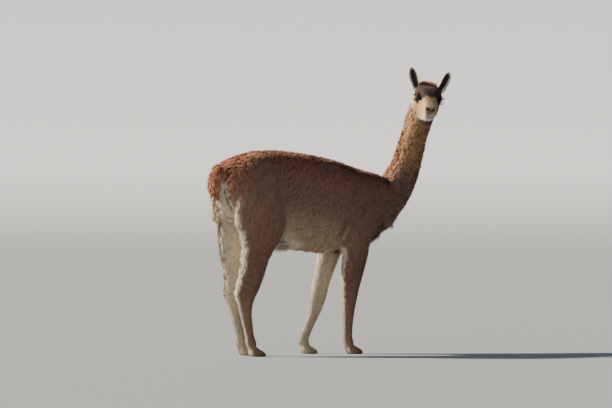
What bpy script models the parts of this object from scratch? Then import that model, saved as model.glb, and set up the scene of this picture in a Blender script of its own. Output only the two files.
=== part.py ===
"""A life-size standing vicuna, looking back over its right shoulder, as closed solids in metres.

The animal faces -Y, +X is its left and +Z is up. The floor is z = 0.
Every surface is the outside of the coat: fleece, locks and clumps reach out to their tips.
"""

import math
import random

import bmesh
import bpy
from mathutils import Matrix, Vector
from mathutils.bvhtree import BVHTree

GAP = 0.0003  # between two parts that touch
FLOOR_CUT = 0.3  # depth of the block that levels the soles

BODY_VOXEL = 0.009
BODY_TRIANGLES = 3300
HEAD_VOXEL = 0.0035
HEAD_TRIANGLES = 1000

# Trunk sections, rear to front: y, top z, bottom z, half width, z of the widest point
TRUNK = (
    (0.392, 0.815, 0.730, 0.045, 0.775),
    (0.380, 0.850, 0.680, 0.080, 0.770),
    (0.345, 0.876, 0.635, 0.112, 0.765),
    (0.285, 0.899, 0.595, 0.134, 0.755),
    (0.210, 0.918, 0.565, 0.140, 0.745),
    (0.120, 0.925, 0.535, 0.136, 0.725),
    (0.040, 0.921, 0.498, 0.137, 0.695),
    (-0.060, 0.911, 0.476, 0.145, 0.680),
    (-0.160, 0.895, 0.466, 0.147, 0.670),
    (-0.250, 0.877, 0.459, 0.141, 0.670),
    (-0.340, 0.850, 0.466, 0.130, 0.665),
    (-0.420, 0.829, 0.502, 0.118, 0.670),
    (-0.500, 0.811, 0.555, 0.101, 0.685),
    (-0.565, 0.785, 0.610, 0.080, 0.700),
    (-0.610, 0.750, 0.660, 0.050, 0.705),
)

# Neck sections, chest to skull: x, y, z, half width, reach to the throat, reach to the nape, turn in degrees
NECK = (
    (0.000, -0.480, 0.660, 0.090, 0.113, 0.090, 0),
    (0.000, -0.560, 0.725, 0.084, 0.101, 0.074, 4),
    (-0.001, -0.613, 0.795, 0.074, 0.088, 0.060, 12),
    (-0.002, -0.651, 0.860, 0.066, 0.076, 0.054, 24),
    (-0.003, -0.679, 0.925, 0.061, 0.067, 0.053, 40),
    (-0.003, -0.705, 0.990, 0.058, 0.061, 0.054, 58),
    (-0.005, -0.729, 1.050, 0.060, 0.060, 0.058, 78),
    (-0.009, -0.746, 1.105, 0.061, 0.056, 0.053, 98),
    (-0.015, -0.753, 1.145, 0.055, 0.045, 0.036, 114),
    (-0.020, -0.753, 1.175, 0.040, 0.030, 0.026, 118),
)

# Leg sections, top to fetlock: x, y, z, half width, reach forwards, reach back. x is negative on the right
HIND_RIGHT = (
    (-0.066, 0.215, 0.800, 0.060, 0.100, 0.110),
    (-0.086, 0.218, 0.730, 0.070, 0.122, 0.135),
    (-0.091, 0.216, 0.660, 0.068, 0.130, 0.140),
    (-0.088, 0.207, 0.592, 0.060, 0.122, 0.128),
    (-0.083, 0.221, 0.500, 0.049, 0.080, 0.082),
    (-0.080, 0.236, 0.446, 0.042, 0.066, 0.067),
    (-0.077, 0.251, 0.381, 0.037, 0.059, 0.060),
    (-0.075, 0.272, 0.317, 0.032, 0.054, 0.058),
    (-0.074, 0.288, 0.275, 0.030, 0.047, 0.054),
    (-0.074, 0.292, 0.235, 0.026, 0.038, 0.042),
    (-0.074, 0.291, 0.198, 0.023, 0.031, 0.034),
    (-0.074, 0.282, 0.150, 0.020, 0.026, 0.028),
    (-0.074, 0.273, 0.105, 0.019, 0.023, 0.024),
    (-0.074, 0.267, 0.075, 0.022, 0.025, 0.026),
    (-0.074, 0.257, 0.048, 0.022, 0.026, 0.025),
)
HIND_LEFT = (
    (0.066, 0.205, 0.800, 0.060, 0.100, 0.110),
    (0.086, 0.205, 0.730, 0.070, 0.122, 0.142),
    (0.091, 0.200, 0.660, 0.068, 0.130, 0.142),
    (0.088, 0.192, 0.592, 0.060, 0.122, 0.136),
    (0.078, 0.223, 0.500, 0.049, 0.080, 0.092),
    (0.074, 0.224, 0.446, 0.042, 0.066, 0.082),
    (0.070, 0.230, 0.381, 0.037, 0.059, 0.069),
    (0.067, 0.238, 0.317, 0.032, 0.054, 0.058),
    (0.066, 0.249, 0.275, 0.030, 0.047, 0.054),
    (0.066, 0.249, 0.235, 0.026, 0.038, 0.042),
    (0.066, 0.242, 0.198, 0.023, 0.031, 0.034),
    (0.065, 0.235, 0.150, 0.020, 0.026, 0.028),
    (0.065, 0.227, 0.105, 0.019, 0.023, 0.024),
    (0.065, 0.221, 0.075, 0.022, 0.025, 0.026),
    (0.065, 0.211, 0.048, 0.022, 0.026, 0.025),
)
FORE_RIGHT = (
    (-0.066, -0.330, 0.720, 0.060, 0.085, 0.100),
    (-0.080, -0.325, 0.640, 0.064, 0.088, 0.105),
    (-0.084, -0.318, 0.560, 0.058, 0.080, 0.092),
    (-0.083, -0.313, 0.500, 0.050, 0.071, 0.076),
    (-0.081, -0.311, 0.455, 0.045, 0.066, 0.066),
    (-0.078, -0.296, 0.363, 0.037, 0.056, 0.057),
    (-0.076, -0.286, 0.300, 0.033, 0.047, 0.046),
    (-0.075, -0.283, 0.262, 0.031, 0.042, 0.042),
    (-0.075, -0.280, 0.220, 0.027, 0.034, 0.034),
    (-0.075, -0.278, 0.180, 0.023, 0.029, 0.030),
    (-0.075, -0.276, 0.130, 0.020, 0.024, 0.026),
    (-0.075, -0.274, 0.090, 0.020, 0.023, 0.025),
    (-0.075, -0.274, 0.068, 0.022, 0.024, 0.026),
    (-0.075, -0.282, 0.045, 0.022, 0.026, 0.025),
)
FORE_LEFT = (
    (0.066, -0.330, 0.720, 0.060, 0.085, 0.100),
    (0.080, -0.320, 0.640, 0.064, 0.088, 0.105),
    (0.083, -0.305, 0.560, 0.056, 0.080, 0.088),
    (0.080, -0.291, 0.500, 0.048, 0.068, 0.070),
    (0.077, -0.277, 0.446, 0.041, 0.057, 0.055),
    (0.073, -0.238, 0.338, 0.034, 0.043, 0.044),
    (0.071, -0.222, 0.285, 0.032, 0.042, 0.042),
    (0.070, -0.208, 0.240, 0.030, 0.039, 0.039),
    (0.069, -0.192, 0.190, 0.025, 0.030, 0.031),
    (0.068, -0.174, 0.151, 0.021, 0.024, 0.026),
    (0.068, -0.154, 0.110, 0.020, 0.022, 0.024),
    (0.068, -0.136, 0.076, 0.021, 0.023, 0.026),
    (0.068, -0.132, 0.045, 0.022, 0.026, 0.026),
)

# Toe sections behind the fetlock to the tip: forwards of the fetlock, outwards, z, half width, half height
TOE = (
    (-0.010, 0.009, 0.034, 0.0130, 0.022),
    (0.010, 0.012, 0.022, 0.0150, 0.025),
    (0.030, 0.0145, 0.0150, 0.0148, 0.0185),
    (0.048, 0.0150, 0.0105, 0.0128, 0.0145),
    (0.062, 0.0150, 0.0075, 0.0085, 0.0105),
)

# Tail sections, root to tip: y, z, half width, half depth
TAIL = (
    (0.345, 0.845, 0.040, 0.026),
    (0.373, 0.840, 0.042, 0.028),
    (0.393, 0.823, 0.041, 0.027),
    (0.404, 0.792, 0.041, 0.027),
    (0.408, 0.757, 0.038, 0.026),
    (0.407, 0.730, 0.031, 0.022),
    (0.405, 0.712, 0.020, 0.015),
)

# Where the eyes' midpoint is, and how the head is held
EYE_POINT = Vector((-0.0785, -0.729, 1.159))
HEAD_TURN = 120.5  # degrees from straight ahead, to the right
HEAD_DROP = 20.5  # degrees, nose below the horizon
HEAD_TILT = 8.5  # degrees, crown towards the animal's left

# Head sections, occiput to nose: forwards, z of centre, half width, rise, drop, squareness
HEAD = (
    (-0.098, -0.008, 0.033, 0.026, 0.034, 2.0),
    (-0.088, -0.005, 0.0505, 0.039, 0.054, 2.1),
    (-0.060, 0.000, 0.0610, 0.045, 0.080, 2.5),
    (-0.030, 0.000, 0.0635, 0.050, 0.096, 2.8),
    (0.000, 0.000, 0.0550, 0.048, 0.103, 2.9),
    (0.030, -0.002, 0.0415, 0.037, 0.098, 2.9),
    (0.060, -0.005, 0.0345, 0.024, 0.087, 2.7),
    (0.085, -0.008, 0.0300, 0.015, 0.076, 2.5),
    (0.104, -0.012, 0.0285, 0.011, 0.065, 2.4),
    (0.118, -0.018, 0.0260, 0.009, 0.052, 2.3),
    (0.126, -0.028, 0.0160, 0.008, 0.032, 2.0),
)
ORBIT = (0.0265, 0.0190, 0.0230)  # the swelling that carries each eye
ORBIT_PLACE = (0.002, 0.0425, 0.002)

# Eyes: from their midpoint in the head's axes, and the lids round them
EYE_PLACE = (0.0040, 0.0470, -0.001)
EYE_RADIUS = 0.0165
EYE_AIM = (0.57, 0.82, 0.05)  # the way the eye looks
OPENING = (0.0150, 0.0130, 0.0110)  # half sizes of the gap between the lids
LID_SPREAD = (0.94, 0.70)  # of the eye's radius, along the face and upwards
UPPER_LID = 0.0030
LOWER_LID = 0.0022

# Ears: where the cup leaves the skull, how it leans, and its sections from root to tip
EAR_PLACE = (-0.052, 0.0530, 0.025)
EAR_BACK = 33.0  # degrees back from the head's own upright
EAR_OUT = {"right": 20.0, "left": 23.0}  # degrees
EAR_STUB = 0.016  # length that stays with the head
EAR_WALL = 0.0040
EAR = (
    (-0.014, 0.0135, 0.0180),
    (0.004, 0.0165, 0.0190),
    (0.022, 0.0200, 0.0185),
    (0.042, 0.0225, 0.0170),
    (0.062, 0.0220, 0.0150),
    (0.078, 0.0185, 0.0120),
    (0.091, 0.0120, 0.0085),
    (0.098, 0.0050, 0.0050),
)

# Nostrils and mouth, in the head's axes
NOSTRIL = (0.1165, 0.0140, -0.0140)
NOSTRIL_SIZE = (0.0075, 0.0034, 0.0056)
NOSTRIL_RIM = (0.0085, 0.0052, 0.0075)
MOUTH = ((0.066, 0.060, -0.062), (0.084, 0.060, -0.0595), (0.100, 0.050, -0.0555), (0.113, 0.030, -0.0525))
MOUTH_FRONT = (0.160, 0.0, -0.0485)
MOUTH_DEPTH = 0.0018
LIP = 0.0040

# Locks and clumps: how many, and length, width, thickness and lift off the surface in metres
SEED = 11
ROOT_SINK = 0.007
NECK_CLUMPS = {"rows": 13, "round": 8, "size": (0.041, 0.034, 0.013), "lift": 0.0035}
NAPE_LOCKS = {"rows": 11, "size": (0.046, 0.024, 0.011), "lift": 0.009}
CHEST_LOCKS = {"count": 21, "size": (0.078, 0.030, 0.012), "lift": 0.006}
THIGH_LOCKS = {"count": 10, "size": (0.058, 0.026, 0.010), "lift": 0.007}
TAIL_LOCKS = {"rows": 4, "round": 5, "size": (0.068, 0.030, 0.012), "lift": 0.001}
BELLY_LOCKS = {"count": 9, "size": (0.060, 0.030, 0.010), "lift": 0.004}
CROWN_LOCKS = {"rows": ((-0.058, 6),), "size": (0.032, 0.018, 0.009), "lift": 0.006, "spread": 0.0165}
LOCK_SHAPE = ((0.0, 0.75, 0.9), (0.38, 1.0, 1.0), (0.74, 0.66, 0.7))  # along, width, thickness
CLUMP_SHAPE = ((0.0, 0.80, 1.0), (0.64, 1.0, 1.0))
CLEARANCE = 0.0006  # from a lock to any other part

# Thin cuts through the body, as outlines in y and z, and the widths they run across
HIND_CUT = ((0.045, -0.05), (0.045, 0.560), (0.400, 0.690), (0.600, 0.690), (0.600, -0.05))
FORE_CUT = (
    (0.020, -0.05), (0.020, 0.30), (-0.165, 0.455), (-0.175, 0.520),
    (-0.235, 0.600), (-0.400, 0.600), (-0.455, 0.540), (-0.455, -0.05),
)
NECK_CUT = ((-0.668, 0.617), (-0.398, 0.887), (-0.398, 1.500), (-1.200, 1.500), (-1.200, 0.617))
FORE_CUT_INSIDE = 0.034
WIDE = 0.5  # beyond the animal's sides
EAR_SLAB = 0.6  # size of the blocks that part an ear from its stub
SKIN_GAP = 0.0004  # between parts cut to each other's shape


def between(rows, steps):
    """Rows read from a smooth curve through the given ones, steps to each stretch."""
    made = []
    last = len(rows) - 1
    for index in range(last):
        before = rows[max(index - 1, 0)]
        start = rows[index]
        end = rows[index + 1]
        after = rows[min(index + 2, last)]
        for step in range(steps):
            t = step / steps
            made.append(
                tuple(
                    0.5 * (2 * q + (r - p) * t + (2 * p - 5 * q + 4 * r - s) * t**2 + (3 * q - p - 3 * r + s) * t**3)
                    for p, q, r, s in zip(before, start, end, after)
                )
            )
    made.append(tuple(rows[last]))
    return made


def ring(centre, side, up, half_width, rise, drop, power=2.0, count=24):
    """A closed ring of points round a centre, wider than an ellipse where power is over 2."""
    points = []
    for index in range(count):
        angle = 2 * math.pi * index / count
        across = math.copysign(abs(math.cos(angle)) ** (2 / power), math.cos(angle))
        along = math.copysign(abs(math.sin(angle)) ** (2 / power), math.sin(angle))
        points.append(centre + side * half_width * across + up * along * (rise if along > 0 else drop))
    return points


def link(name, mesh):
    made = bpy.data.objects.new(name, mesh)
    bpy.context.scene.collection.objects.link(made)
    return made


def loft(name, rings):
    """A closed solid through rings with the same number of points."""
    shape = bmesh.new()
    rows = [[shape.verts.new(point) for point in points] for points in rings]
    for first, second in zip(rows, rows[1:]):
        for index in range(len(first)):
            following = (index + 1) % len(first)
            shape.faces.new((first[index], first[following], second[following], second[index]))
    shape.faces.new(rows[0])
    shape.faces.new(list(reversed(rows[-1])))
    bmesh.ops.recalc_face_normals(shape, faces=shape.faces)
    mesh = bpy.data.meshes.new(name)
    shape.to_mesh(mesh)
    shape.free()
    return link(name, mesh)


def apply_modifiers(target):
    """Gives the object its evaluated mesh, and takes its modifiers off."""
    graph = bpy.context.evaluated_depsgraph_get()
    mesh = bpy.data.meshes.new_from_object(target.evaluated_get(graph))
    target.modifiers.clear()
    target.data = mesh


def trunk_solid():
    rings = []
    for y, top, bottom, half_width, widest in between(TRUNK, 3):
        centre = Vector((0.0, y, widest))
        rings.append(
            ring(centre, Vector((1, 0, 0)), Vector((0, 0, 1)), half_width, top - widest, widest - bottom, 2.15, 28)
        )
    return loft("trunk_form", rings)


def along_path(points, index):
    """The direction of a path at one of its points."""
    before = points[max(index - 1, 0)]
    after = points[min(index + 1, len(points) - 1)]
    return (after - before).normalized()


def neck_solid():
    rows = between(NECK, 3)
    points = [Vector(row[:3]) for row in rows]
    rings = []
    for index, (x, y, z, half_width, throat, nape, turn) in enumerate(rows):
        axis = along_path(points, index)
        front = Matrix.Rotation(math.radians(-turn), 3, "Z") @ Vector((0, -1, 0))
        front = (front - axis * front.dot(axis)).normalized()
        side = axis.cross(front)
        rings.append(ring(points[index], side, front, half_width, throat, nape, 2.0, 24))
    return loft("neck_form", rings)


def leg_solid(name, rows):
    rows = between(rows, 2)
    points = [Vector(row[:3]) for row in rows]
    rings = []
    for index, (x, y, z, half_width, forwards, back) in enumerate(rows):
        axis = along_path(points, index)
        front = Vector((0, -1, 0))
        front = (front - axis * front.dot(axis)).normalized()
        side = axis.cross(front)
        rings.append(ring(points[index], side, front, half_width, forwards, back, 2.1, 18))
    return loft(name + "_form", rings)


def toe_solids(name, leg_rows):
    """The two toes of a foot, side by side in front of the fetlock."""
    x, y = leg_rows[-1][:2]
    made = []
    for outwards in (-1, 1):
        rings = []
        for ahead, out, z, half_width, half_height in between(TOE, 2):
            centre = Vector((x + outwards * out, y - ahead, z))
            rings.append(ring(centre, Vector((1, 0, 0)), Vector((0, 0, 1)), half_width, half_height, half_height, 2.2, 14))
        made.append(loft(name + "_toe_form", rings))
    return made


def tail_solid():
    rows = between(TAIL, 3)
    points = [Vector((0, row[0], row[1])) for row in rows]
    rings = []
    for index, (y, z, half_width, half_depth) in enumerate(rows):
        axis = along_path(points, index)
        side = Vector((1, 0, 0))
        rings.append(ring(points[index], side, axis.cross(side), half_width, half_depth, half_depth, 2.0, 16))
    return loft("tail_form", rings)


def head_frame():
    """The head's own axes: x forwards from the eyes' midpoint, y to its left, z up."""
    turn = Matrix.Rotation(math.radians(-90.0 - HEAD_TURN), 4, "Z")
    drop = Matrix.Rotation(math.radians(HEAD_DROP), 4, "Y")
    tilt = Matrix.Rotation(math.radians(-HEAD_TILT), 4, "X")
    return Matrix.Translation(EYE_POINT) @ turn @ drop @ tilt


def head_solid(frame):
    rings = []
    side = frame.to_3x3() @ Vector((0, 1, 0))
    up = frame.to_3x3() @ Vector((0, 0, 1))
    for ahead, z, half_width, rise, drop, power in between(HEAD, 3):
        centre = frame @ Vector((ahead, 0, z))
        rings.append(ring(centre, side, up, half_width, rise, drop, power, 28))
    return loft("head_form", rings)


def fuse(name, pieces, voxel, smoothing, triangles):
    """One closed, softened body from overlapping solids, thinned to about so many triangles."""
    joined = bmesh.new()
    for piece in pieces:
        joined.from_mesh(piece.data)
        bpy.data.objects.remove(piece)
    mesh = bpy.data.meshes.new(name)
    joined.to_mesh(mesh)
    joined.free()
    made = link(name, mesh)
    remesh = made.modifiers.new("fuse", "REMESH")
    remesh.mode = "VOXEL"
    remesh.voxel_size = voxel
    smooth = made.modifiers.new("soften", "SMOOTH")
    smooth.factor = 0.5
    smooth.iterations = smoothing
    apply_modifiers(made)
    thin = made.modifiers.new("thin", "DECIMATE")
    thin.ratio = min(1.0, triangles / (2 * len(made.data.polygons)))
    apply_modifiers(made)
    return made


def closed_mesh(name, points, faces):
    mesh = bpy.data.meshes.new(name)
    mesh.from_pydata([tuple(point) for point in points], [], faces)
    mesh.update()
    shape = bmesh.new()
    shape.from_mesh(mesh)
    bmesh.ops.recalc_face_normals(shape, faces=shape.faces)
    shape.to_mesh(mesh)
    shape.free()
    return link(name, mesh)


def prism(name, outline, low, high):
    """A block with an outline in y and z, from low to high across the animal."""
    count = len(outline)
    points = [(low, y, z) for y, z in outline] + [(high, y, z) for y, z in outline]
    faces = [tuple(range(count)), tuple(range(2 * count - 1, count - 1, -1))]
    for index in range(count):
        following = (index + 1) % count
        faces.append((index, following, count + following, count + index))
    return closed_mesh(name, points, faces)


def grown_outline(outline, amount):
    """The outline moved outwards by an amount, for a cut that leaves a gap."""
    count = len(outline)
    area = sum(
        outline[index][0] * outline[(index + 1) % count][1] - outline[(index + 1) % count][0] * outline[index][1]
        for index in range(count)
    )
    turn = 1 if area > 0 else -1
    made = []
    for index in range(count):
        here = Vector(outline[index])
        first = (here - Vector(outline[index - 1])).normalized()
        second = (Vector(outline[(index + 1) % count]) - here).normalized()
        one = Vector((first.y, -first.x)) * turn
        two = Vector((second.y, -second.x)) * turn
        corner = (one + two).normalized()
        made.append(tuple(here + corner * (amount / corner.dot(one))))
    return made


def keep_largest(target):
    """Leaves only the largest closed surface of an object."""
    shape = bmesh.new()
    shape.from_mesh(target.data)
    left = set(shape.verts)
    shells = []
    while left:
        start = left.pop()
        shell = {start}
        edge = [start]
        while edge:
            vertex = edge.pop()
            for link_edge in vertex.link_edges:
                other = link_edge.other_vert(vertex)
                if other in left:
                    left.discard(other)
                    shell.add(other)
                    edge.append(other)
        shells.append(shell)
    shells.sort(key=len)
    loose = [vertex for shell in shells[:-1] for vertex in shell]
    bmesh.ops.delete(shape, geom=loose, context="VERTS")
    shape.to_mesh(target.data)
    shape.free()


def combine(target, other, operation, solver="EXACT"):
    """One Boolean with an object, applied, and the largest piece kept."""
    step = target.modifiers.new(operation.lower(), "BOOLEAN")
    step.operation = operation
    step.solver = solver
    step.object = other
    apply_modifiers(target)
    keep_largest(target)


def cut(target, cutter):
    combine(target, cutter, "DIFFERENCE")
    bpy.data.objects.remove(cutter)


def is_closed(thing):
    shape = bmesh.new()
    shape.from_mesh(thing.data)
    closed = all(edge.is_manifold for edge in shape.edges)
    shape.free()
    return closed


def join_to(target, pieces):
    """Fuses closed pieces, which may cross one another, with the target in one union."""
    group = bpy.data.collections.new("to_join")
    for piece in pieces:
        group.objects.link(piece)
    step = target.modifiers.new("union", "BOOLEAN")
    step.operation = "UNION"
    step.solver = "MANIFOLD" if all(is_closed(thing) for thing in [target] + pieces) else "EXACT"
    step.operand_type = "COLLECTION"
    step.collection = group
    apply_modifiers(target)
    for piece in pieces:
        bpy.data.objects.remove(piece)
    bpy.data.collections.remove(group)
    keep_largest(target)


def duplicate(source, name):
    return link(name, source.data.copy())


def grown(source, amount):
    """A copy with its surface moved outwards by an amount."""
    made = duplicate(source, "grown")
    for vertex, normal in zip(made.data.vertices, [v.normal.copy() for v in made.data.vertices]):
        vertex.co += normal * amount
    return made


def slab(point, normal, side, size):
    """A block that fills one side of a plane."""
    shape = bmesh.new()
    bmesh.ops.create_cube(shape, size=size)
    turn = Matrix((side, normal.cross(side), normal)).transposed().to_4x4()
    place = Matrix.Translation(point + normal * size / 2)
    bmesh.ops.transform(shape, matrix=place @ turn, verts=shape.verts)
    mesh = bpy.data.meshes.new("slab")
    shape.to_mesh(mesh)
    shape.free()
    return link("slab", mesh)


def split_off(whole, name, outline, low, high):
    """Takes the part inside a block off the whole, with a gap on the block's faces."""
    part = duplicate(whole, name)
    block = prism("zone", outline, low, high)
    combine(part, block, "INTERSECT")
    bpy.data.objects.remove(block)
    cut(whole, prism("zone", grown_outline(outline, GAP), low - GAP, high + GAP))
    return part


def tube(name, points, radii, closed, sides=8):
    """A round rod along points, closed on itself or rounded off at its ends."""
    count = len(points)
    rings = []
    normal = None
    for index, point in enumerate(points):
        before = points[index - 1] if closed or index else point
        after = points[(index + 1) % count] if closed or index < count - 1 else point
        axis = (after - before).normalized()
        if normal is None:
            normal = axis.orthogonal()
        normal = (normal - axis * normal.dot(axis)).normalized()
        rings.append(ring(point, normal, axis.cross(normal), radii[index], radii[index], radii[index], 2.0, sides))
    if not closed:
        return loft(name, rings)
    faces = []
    for row in range(count):
        # the last ring meets the first one at the turn nearest to it
        shift = 0
        if row == count - 1:
            shift = min(range(sides), key=lambda s: (rings[row][0] - rings[0][s]).length)
        for index in range(sides):
            following = (index + 1) % sides
            ahead = (row + 1) % count
            faces.append(
                (
                    row * sides + index,
                    row * sides + following,
                    ahead * sides + (following + shift) % sides,
                    ahead * sides + (index + shift) % sides,
                )
            )
    return closed_mesh(name, [point for points in rings for point in points], faces)


def eye_opening(frame, side):
    """The almond cut through the skin in front of an eye."""
    outward = (Vector(EYE_AIM) * Vector((1, side, 1))).normalized()
    along = Vector((outward.y * side, -outward.x * side, 0)).normalized()
    upward = along.cross(outward) * side
    turn = Matrix((along, outward, upward)).transposed().to_4x4()
    place = Vector(EYE_PLACE) * Vector((1, side, 1)) + outward * (EYE_RADIUS + 0.001)
    return ball("opening", frame @ Matrix.Translation(place) @ turn, (0, 0, 0), OPENING, 14)


def ball(name, frame, place, radii, segments=20):
    """A sphere or egg in the head's axes."""
    shape = bmesh.new()
    bmesh.ops.create_uvsphere(shape, u_segments=segments, v_segments=segments // 2, radius=1.0)
    sizes = Matrix.Diagonal((*radii, 1.0))
    bmesh.ops.transform(shape, matrix=frame @ Matrix.Translation(place) @ sizes, verts=shape.verts)
    mesh = bpy.data.meshes.new(name)
    shape.to_mesh(mesh)
    shape.free()
    return link(name, mesh)


def lid_tube(frame, side):
    """The rim of both lids as one ring on the eye's outer face."""
    place = Vector(EYE_PLACE) * Vector((1, side, 1))
    outward = (Vector(EYE_AIM) * Vector((1, side, 1))).normalized()
    along = Vector((outward.y * side, -outward.x * side, 0)).normalized()
    upward = Vector((0, 0, 1))
    points = []
    radii = []
    for index in range(16):
        angle = 2 * math.pi * index / 16
        across = along * math.cos(angle) * LID_SPREAD[0]
        rise = upward * math.sin(angle) * LID_SPREAD[1]
        depth = math.sqrt(max(0.05, 1 - across.length_squared - rise.length_squared))
        points.append(frame @ (place + (across + rise + outward * depth) * EYE_RADIUS * 1.02))
        radii.append(LOWER_LID + (UPPER_LID - LOWER_LID) * (0.5 + 0.5 * math.sin(angle)))
    return tube("lids", points, radii, True, 6)


def ear_axes(frame, name):
    """The root, the axis, the opening's direction and the side of an ear."""
    side = 1 if name == "left" else -1
    place = frame @ (Vector(EAR_PLACE) * Vector((1, side, 1)))
    back = math.radians(EAR_BACK)
    out = math.radians(EAR_OUT[name])
    axis = Vector((-math.sin(back) * math.cos(out), side * math.sin(out), math.cos(back) * math.cos(out)))
    opening = Vector((0.90, side * 0.35, 0.0))
    opening = (opening - axis * opening.dot(axis)).normalized()
    turn = frame.to_3x3()
    return place, turn @ axis, turn @ opening, turn @ axis.cross(opening)


def ear_solid(frame, name):
    """A cupped leaf, open to the front."""
    place, axis, opening, side = ear_axes(frame, name)
    rings = []
    for along, half_width, depth in between(EAR, 1):
        centre = place + axis * along + opening * depth * 0.45
        wall = min(EAR_WALL, depth * 0.5)
        points = []
        for index in range(9):
            angle = math.pi * index / 8
            points.append(centre + side * half_width * math.cos(angle) - opening * depth * math.sin(angle))
        for index in range(7, 0, -1):
            angle = math.pi * index / 8
            reach = side * (half_width - 0.6 * wall) * math.cos(angle)
            points.append(centre + reach - opening * (depth - wall) * math.sin(angle) * 0.96)
        rings.append(points)
    return loft("ear_" + name, rings)


def surface_tree(target):
    shape = bmesh.new()
    shape.from_mesh(target.data)
    bmesh.ops.triangulate(shape, faces=shape.faces)
    tree = BVHTree.FromBMesh(shape)
    shape.free()
    return tree


def mouth_points(frame, tree):
    """The mouth's line, from one corner round the front to the other, on the muzzle's surface."""
    starts = [Vector(point) for point in MOUTH]
    right = [Vector((point.x, -point.y, point.z)) for point in starts]
    aims = [(point, 1) for point in right] + [(Vector(MOUTH_FRONT), 0)] + [(point, 1) for point in reversed(starts)]
    points = []
    for point, sideways in aims:
        middle = frame @ Vector((point.x - (0.0 if sideways else 0.1), 0, point.z))
        start = frame @ point
        hit = tree.ray_cast(start, (middle - start).normalized())
        points.append(hit[0] if hit[0] else middle)
    rows = between([tuple(point) for point in points], 2)
    return [tree.find_nearest(Vector(row))[0] for row in rows]


def dress_head(head, frame):
    """Lids, sockets, lips, mouth line and nostrils."""
    tree = surface_tree(head)
    mouth = mouth_points(frame, tree)
    down = frame.to_3x3() @ Vector((0, 0, -1))
    inward = [(frame @ Vector((0.06, 0, -0.03)) - point).normalized() for point in mouth]
    lips = []
    for drop in (-0.0036, 0.0036):
        path = [point + down * drop + into * 0.0026 for point, into in zip(mouth, inward)]
        ends = [0.55, 0.8] + [1.0] * (len(path) - 4) + [0.8, 0.55]
        lips.append(tube("lip", path, [LIP * end for end in ends], False, 6))
    rims = [ball("nostril_rim", frame, nostril_place(side, -0.003), NOSTRIL_RIM, 10) for side in (1, -1)]
    for side in (1, -1):
        cut(head, eye_opening(frame, side))
    join_to(head, [lid_tube(frame, 1), lid_tube(frame, -1)] + lips + rims)
    cut(head, tube("mouth_line", mouth, [MOUTH_DEPTH] * len(mouth), False, 6))
    for side in (1, -1):
        cut(head, ball("nostril", frame, nostril_place(side, 0.003), NOSTRIL_SIZE, 10))
        place = Vector(EYE_PLACE) * Vector((1, side, 1))
        cut(head, ball("socket", frame, place, [EYE_RADIUS + GAP] * 3, 16))


def nostril_place(side, ahead):
    return Vector(NOSTRIL) * Vector((1, side, 1)) + Vector((ahead, side * ahead, 0))


def tuft(root, lie, normal, size, lift, droop, sides=4):
    """One tapered piece of coat that leaves the surface, bends and ends in a tip."""
    length, width, thick = size
    side = lie.cross(normal).normalized()
    shape = LOCK_SHAPE if sides == 4 else CLUMP_SHAPE
    rings = []
    for t, across, deep in shape:
        rise = -ROOT_SINK + (ROOT_SINK + lift) * (1 - (1 - t) ** 2)
        centre = root + lie * length * t + normal * rise + droop * length * t * t
        ahead = (lie + normal * (ROOT_SINK + lift) / length * 2 * (1 - t) + droop * 2 * t).normalized()
        up = side.cross(ahead)
        half = thick * deep / 2
        rings.append(ring(centre, side, up, width * across / 2, half, half, 2.0, sides))
    tip = root + lie * length + normal * lift + droop * length
    return rings, tip


def tuft_faces(rings, tip):
    """The points and faces of a tuft, closed at its root."""
    count = len(rings[0])
    points = [point for row in rings for point in row] + [tip]
    faces = [tuple(range(count))]
    for row in range(len(rings) - 1):
        for index in range(count):
            following = (index + 1) % count
            low = row * count
            faces.append((low + index, low + following, low + count + following, low + count + index))
    last = (len(rings) - 1) * count
    faces += [(last + index, last + (index + 1) % count, len(points) - 1) for index in range(count)]
    return points, faces


def is_clear(points, faces, trees):
    """True where a tuft neither crosses nor lies in another part."""
    own = BVHTree.FromPolygons(points, faces)
    for tree in trees:
        if own.overlap(tree):
            return False
        for point in points:
            place, normal, index, distance = tree.find_nearest(point)
            if distance < CLEARANCE or (point - place).dot(normal) < 0 and distance < 0.05:
                return False
    return True


def add_tuft(made, tree, trees, start, aim, lie, size, lift, droop=Vector((0, 0, 0)), sides=4):
    """Sets a tuft where a ray from inside meets the surface, shorter where another part is near."""
    place, normal, index, distance = tree.ray_cast(start, aim.normalized())
    if place is None:
        return
    if normal.dot(aim) < 0:
        normal = -normal
    lie = (lie - normal * lie.dot(normal)).normalized()
    length, width, thick = size
    for shrink in (1.0, 0.75, 0.55):
        fat = (length * shrink + CLEARANCE, width + 2 * CLEARANCE, thick + 2 * CLEARANCE)
        points, faces = tuft_faces(*tuft(place, lie, normal, fat, lift * shrink, droop, sides))
        if points[-1].z > 0.004 and is_clear(points, faces, trees):
            sized = (length * shrink, width, thick)
            points, faces = tuft_faces(*tuft(place, lie, normal, sized, lift * shrink, droop, sides))
            made.append(closed_mesh("tuft", points, faces))
            return


def varied(size, chance):
    """The size of one tuft, a little longer or shorter than the rest."""
    return tuple(value * chance.uniform(0.85, 1.18) for value in size)


def around(axis, front, angle):
    """A direction across an axis: 0 is front, positive towards the animal's right-hand turn."""
    front = (front - axis * front.dot(axis)).normalized()
    return (front * math.cos(angle) + axis.cross(front) * math.sin(angle)).normalized()


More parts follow.
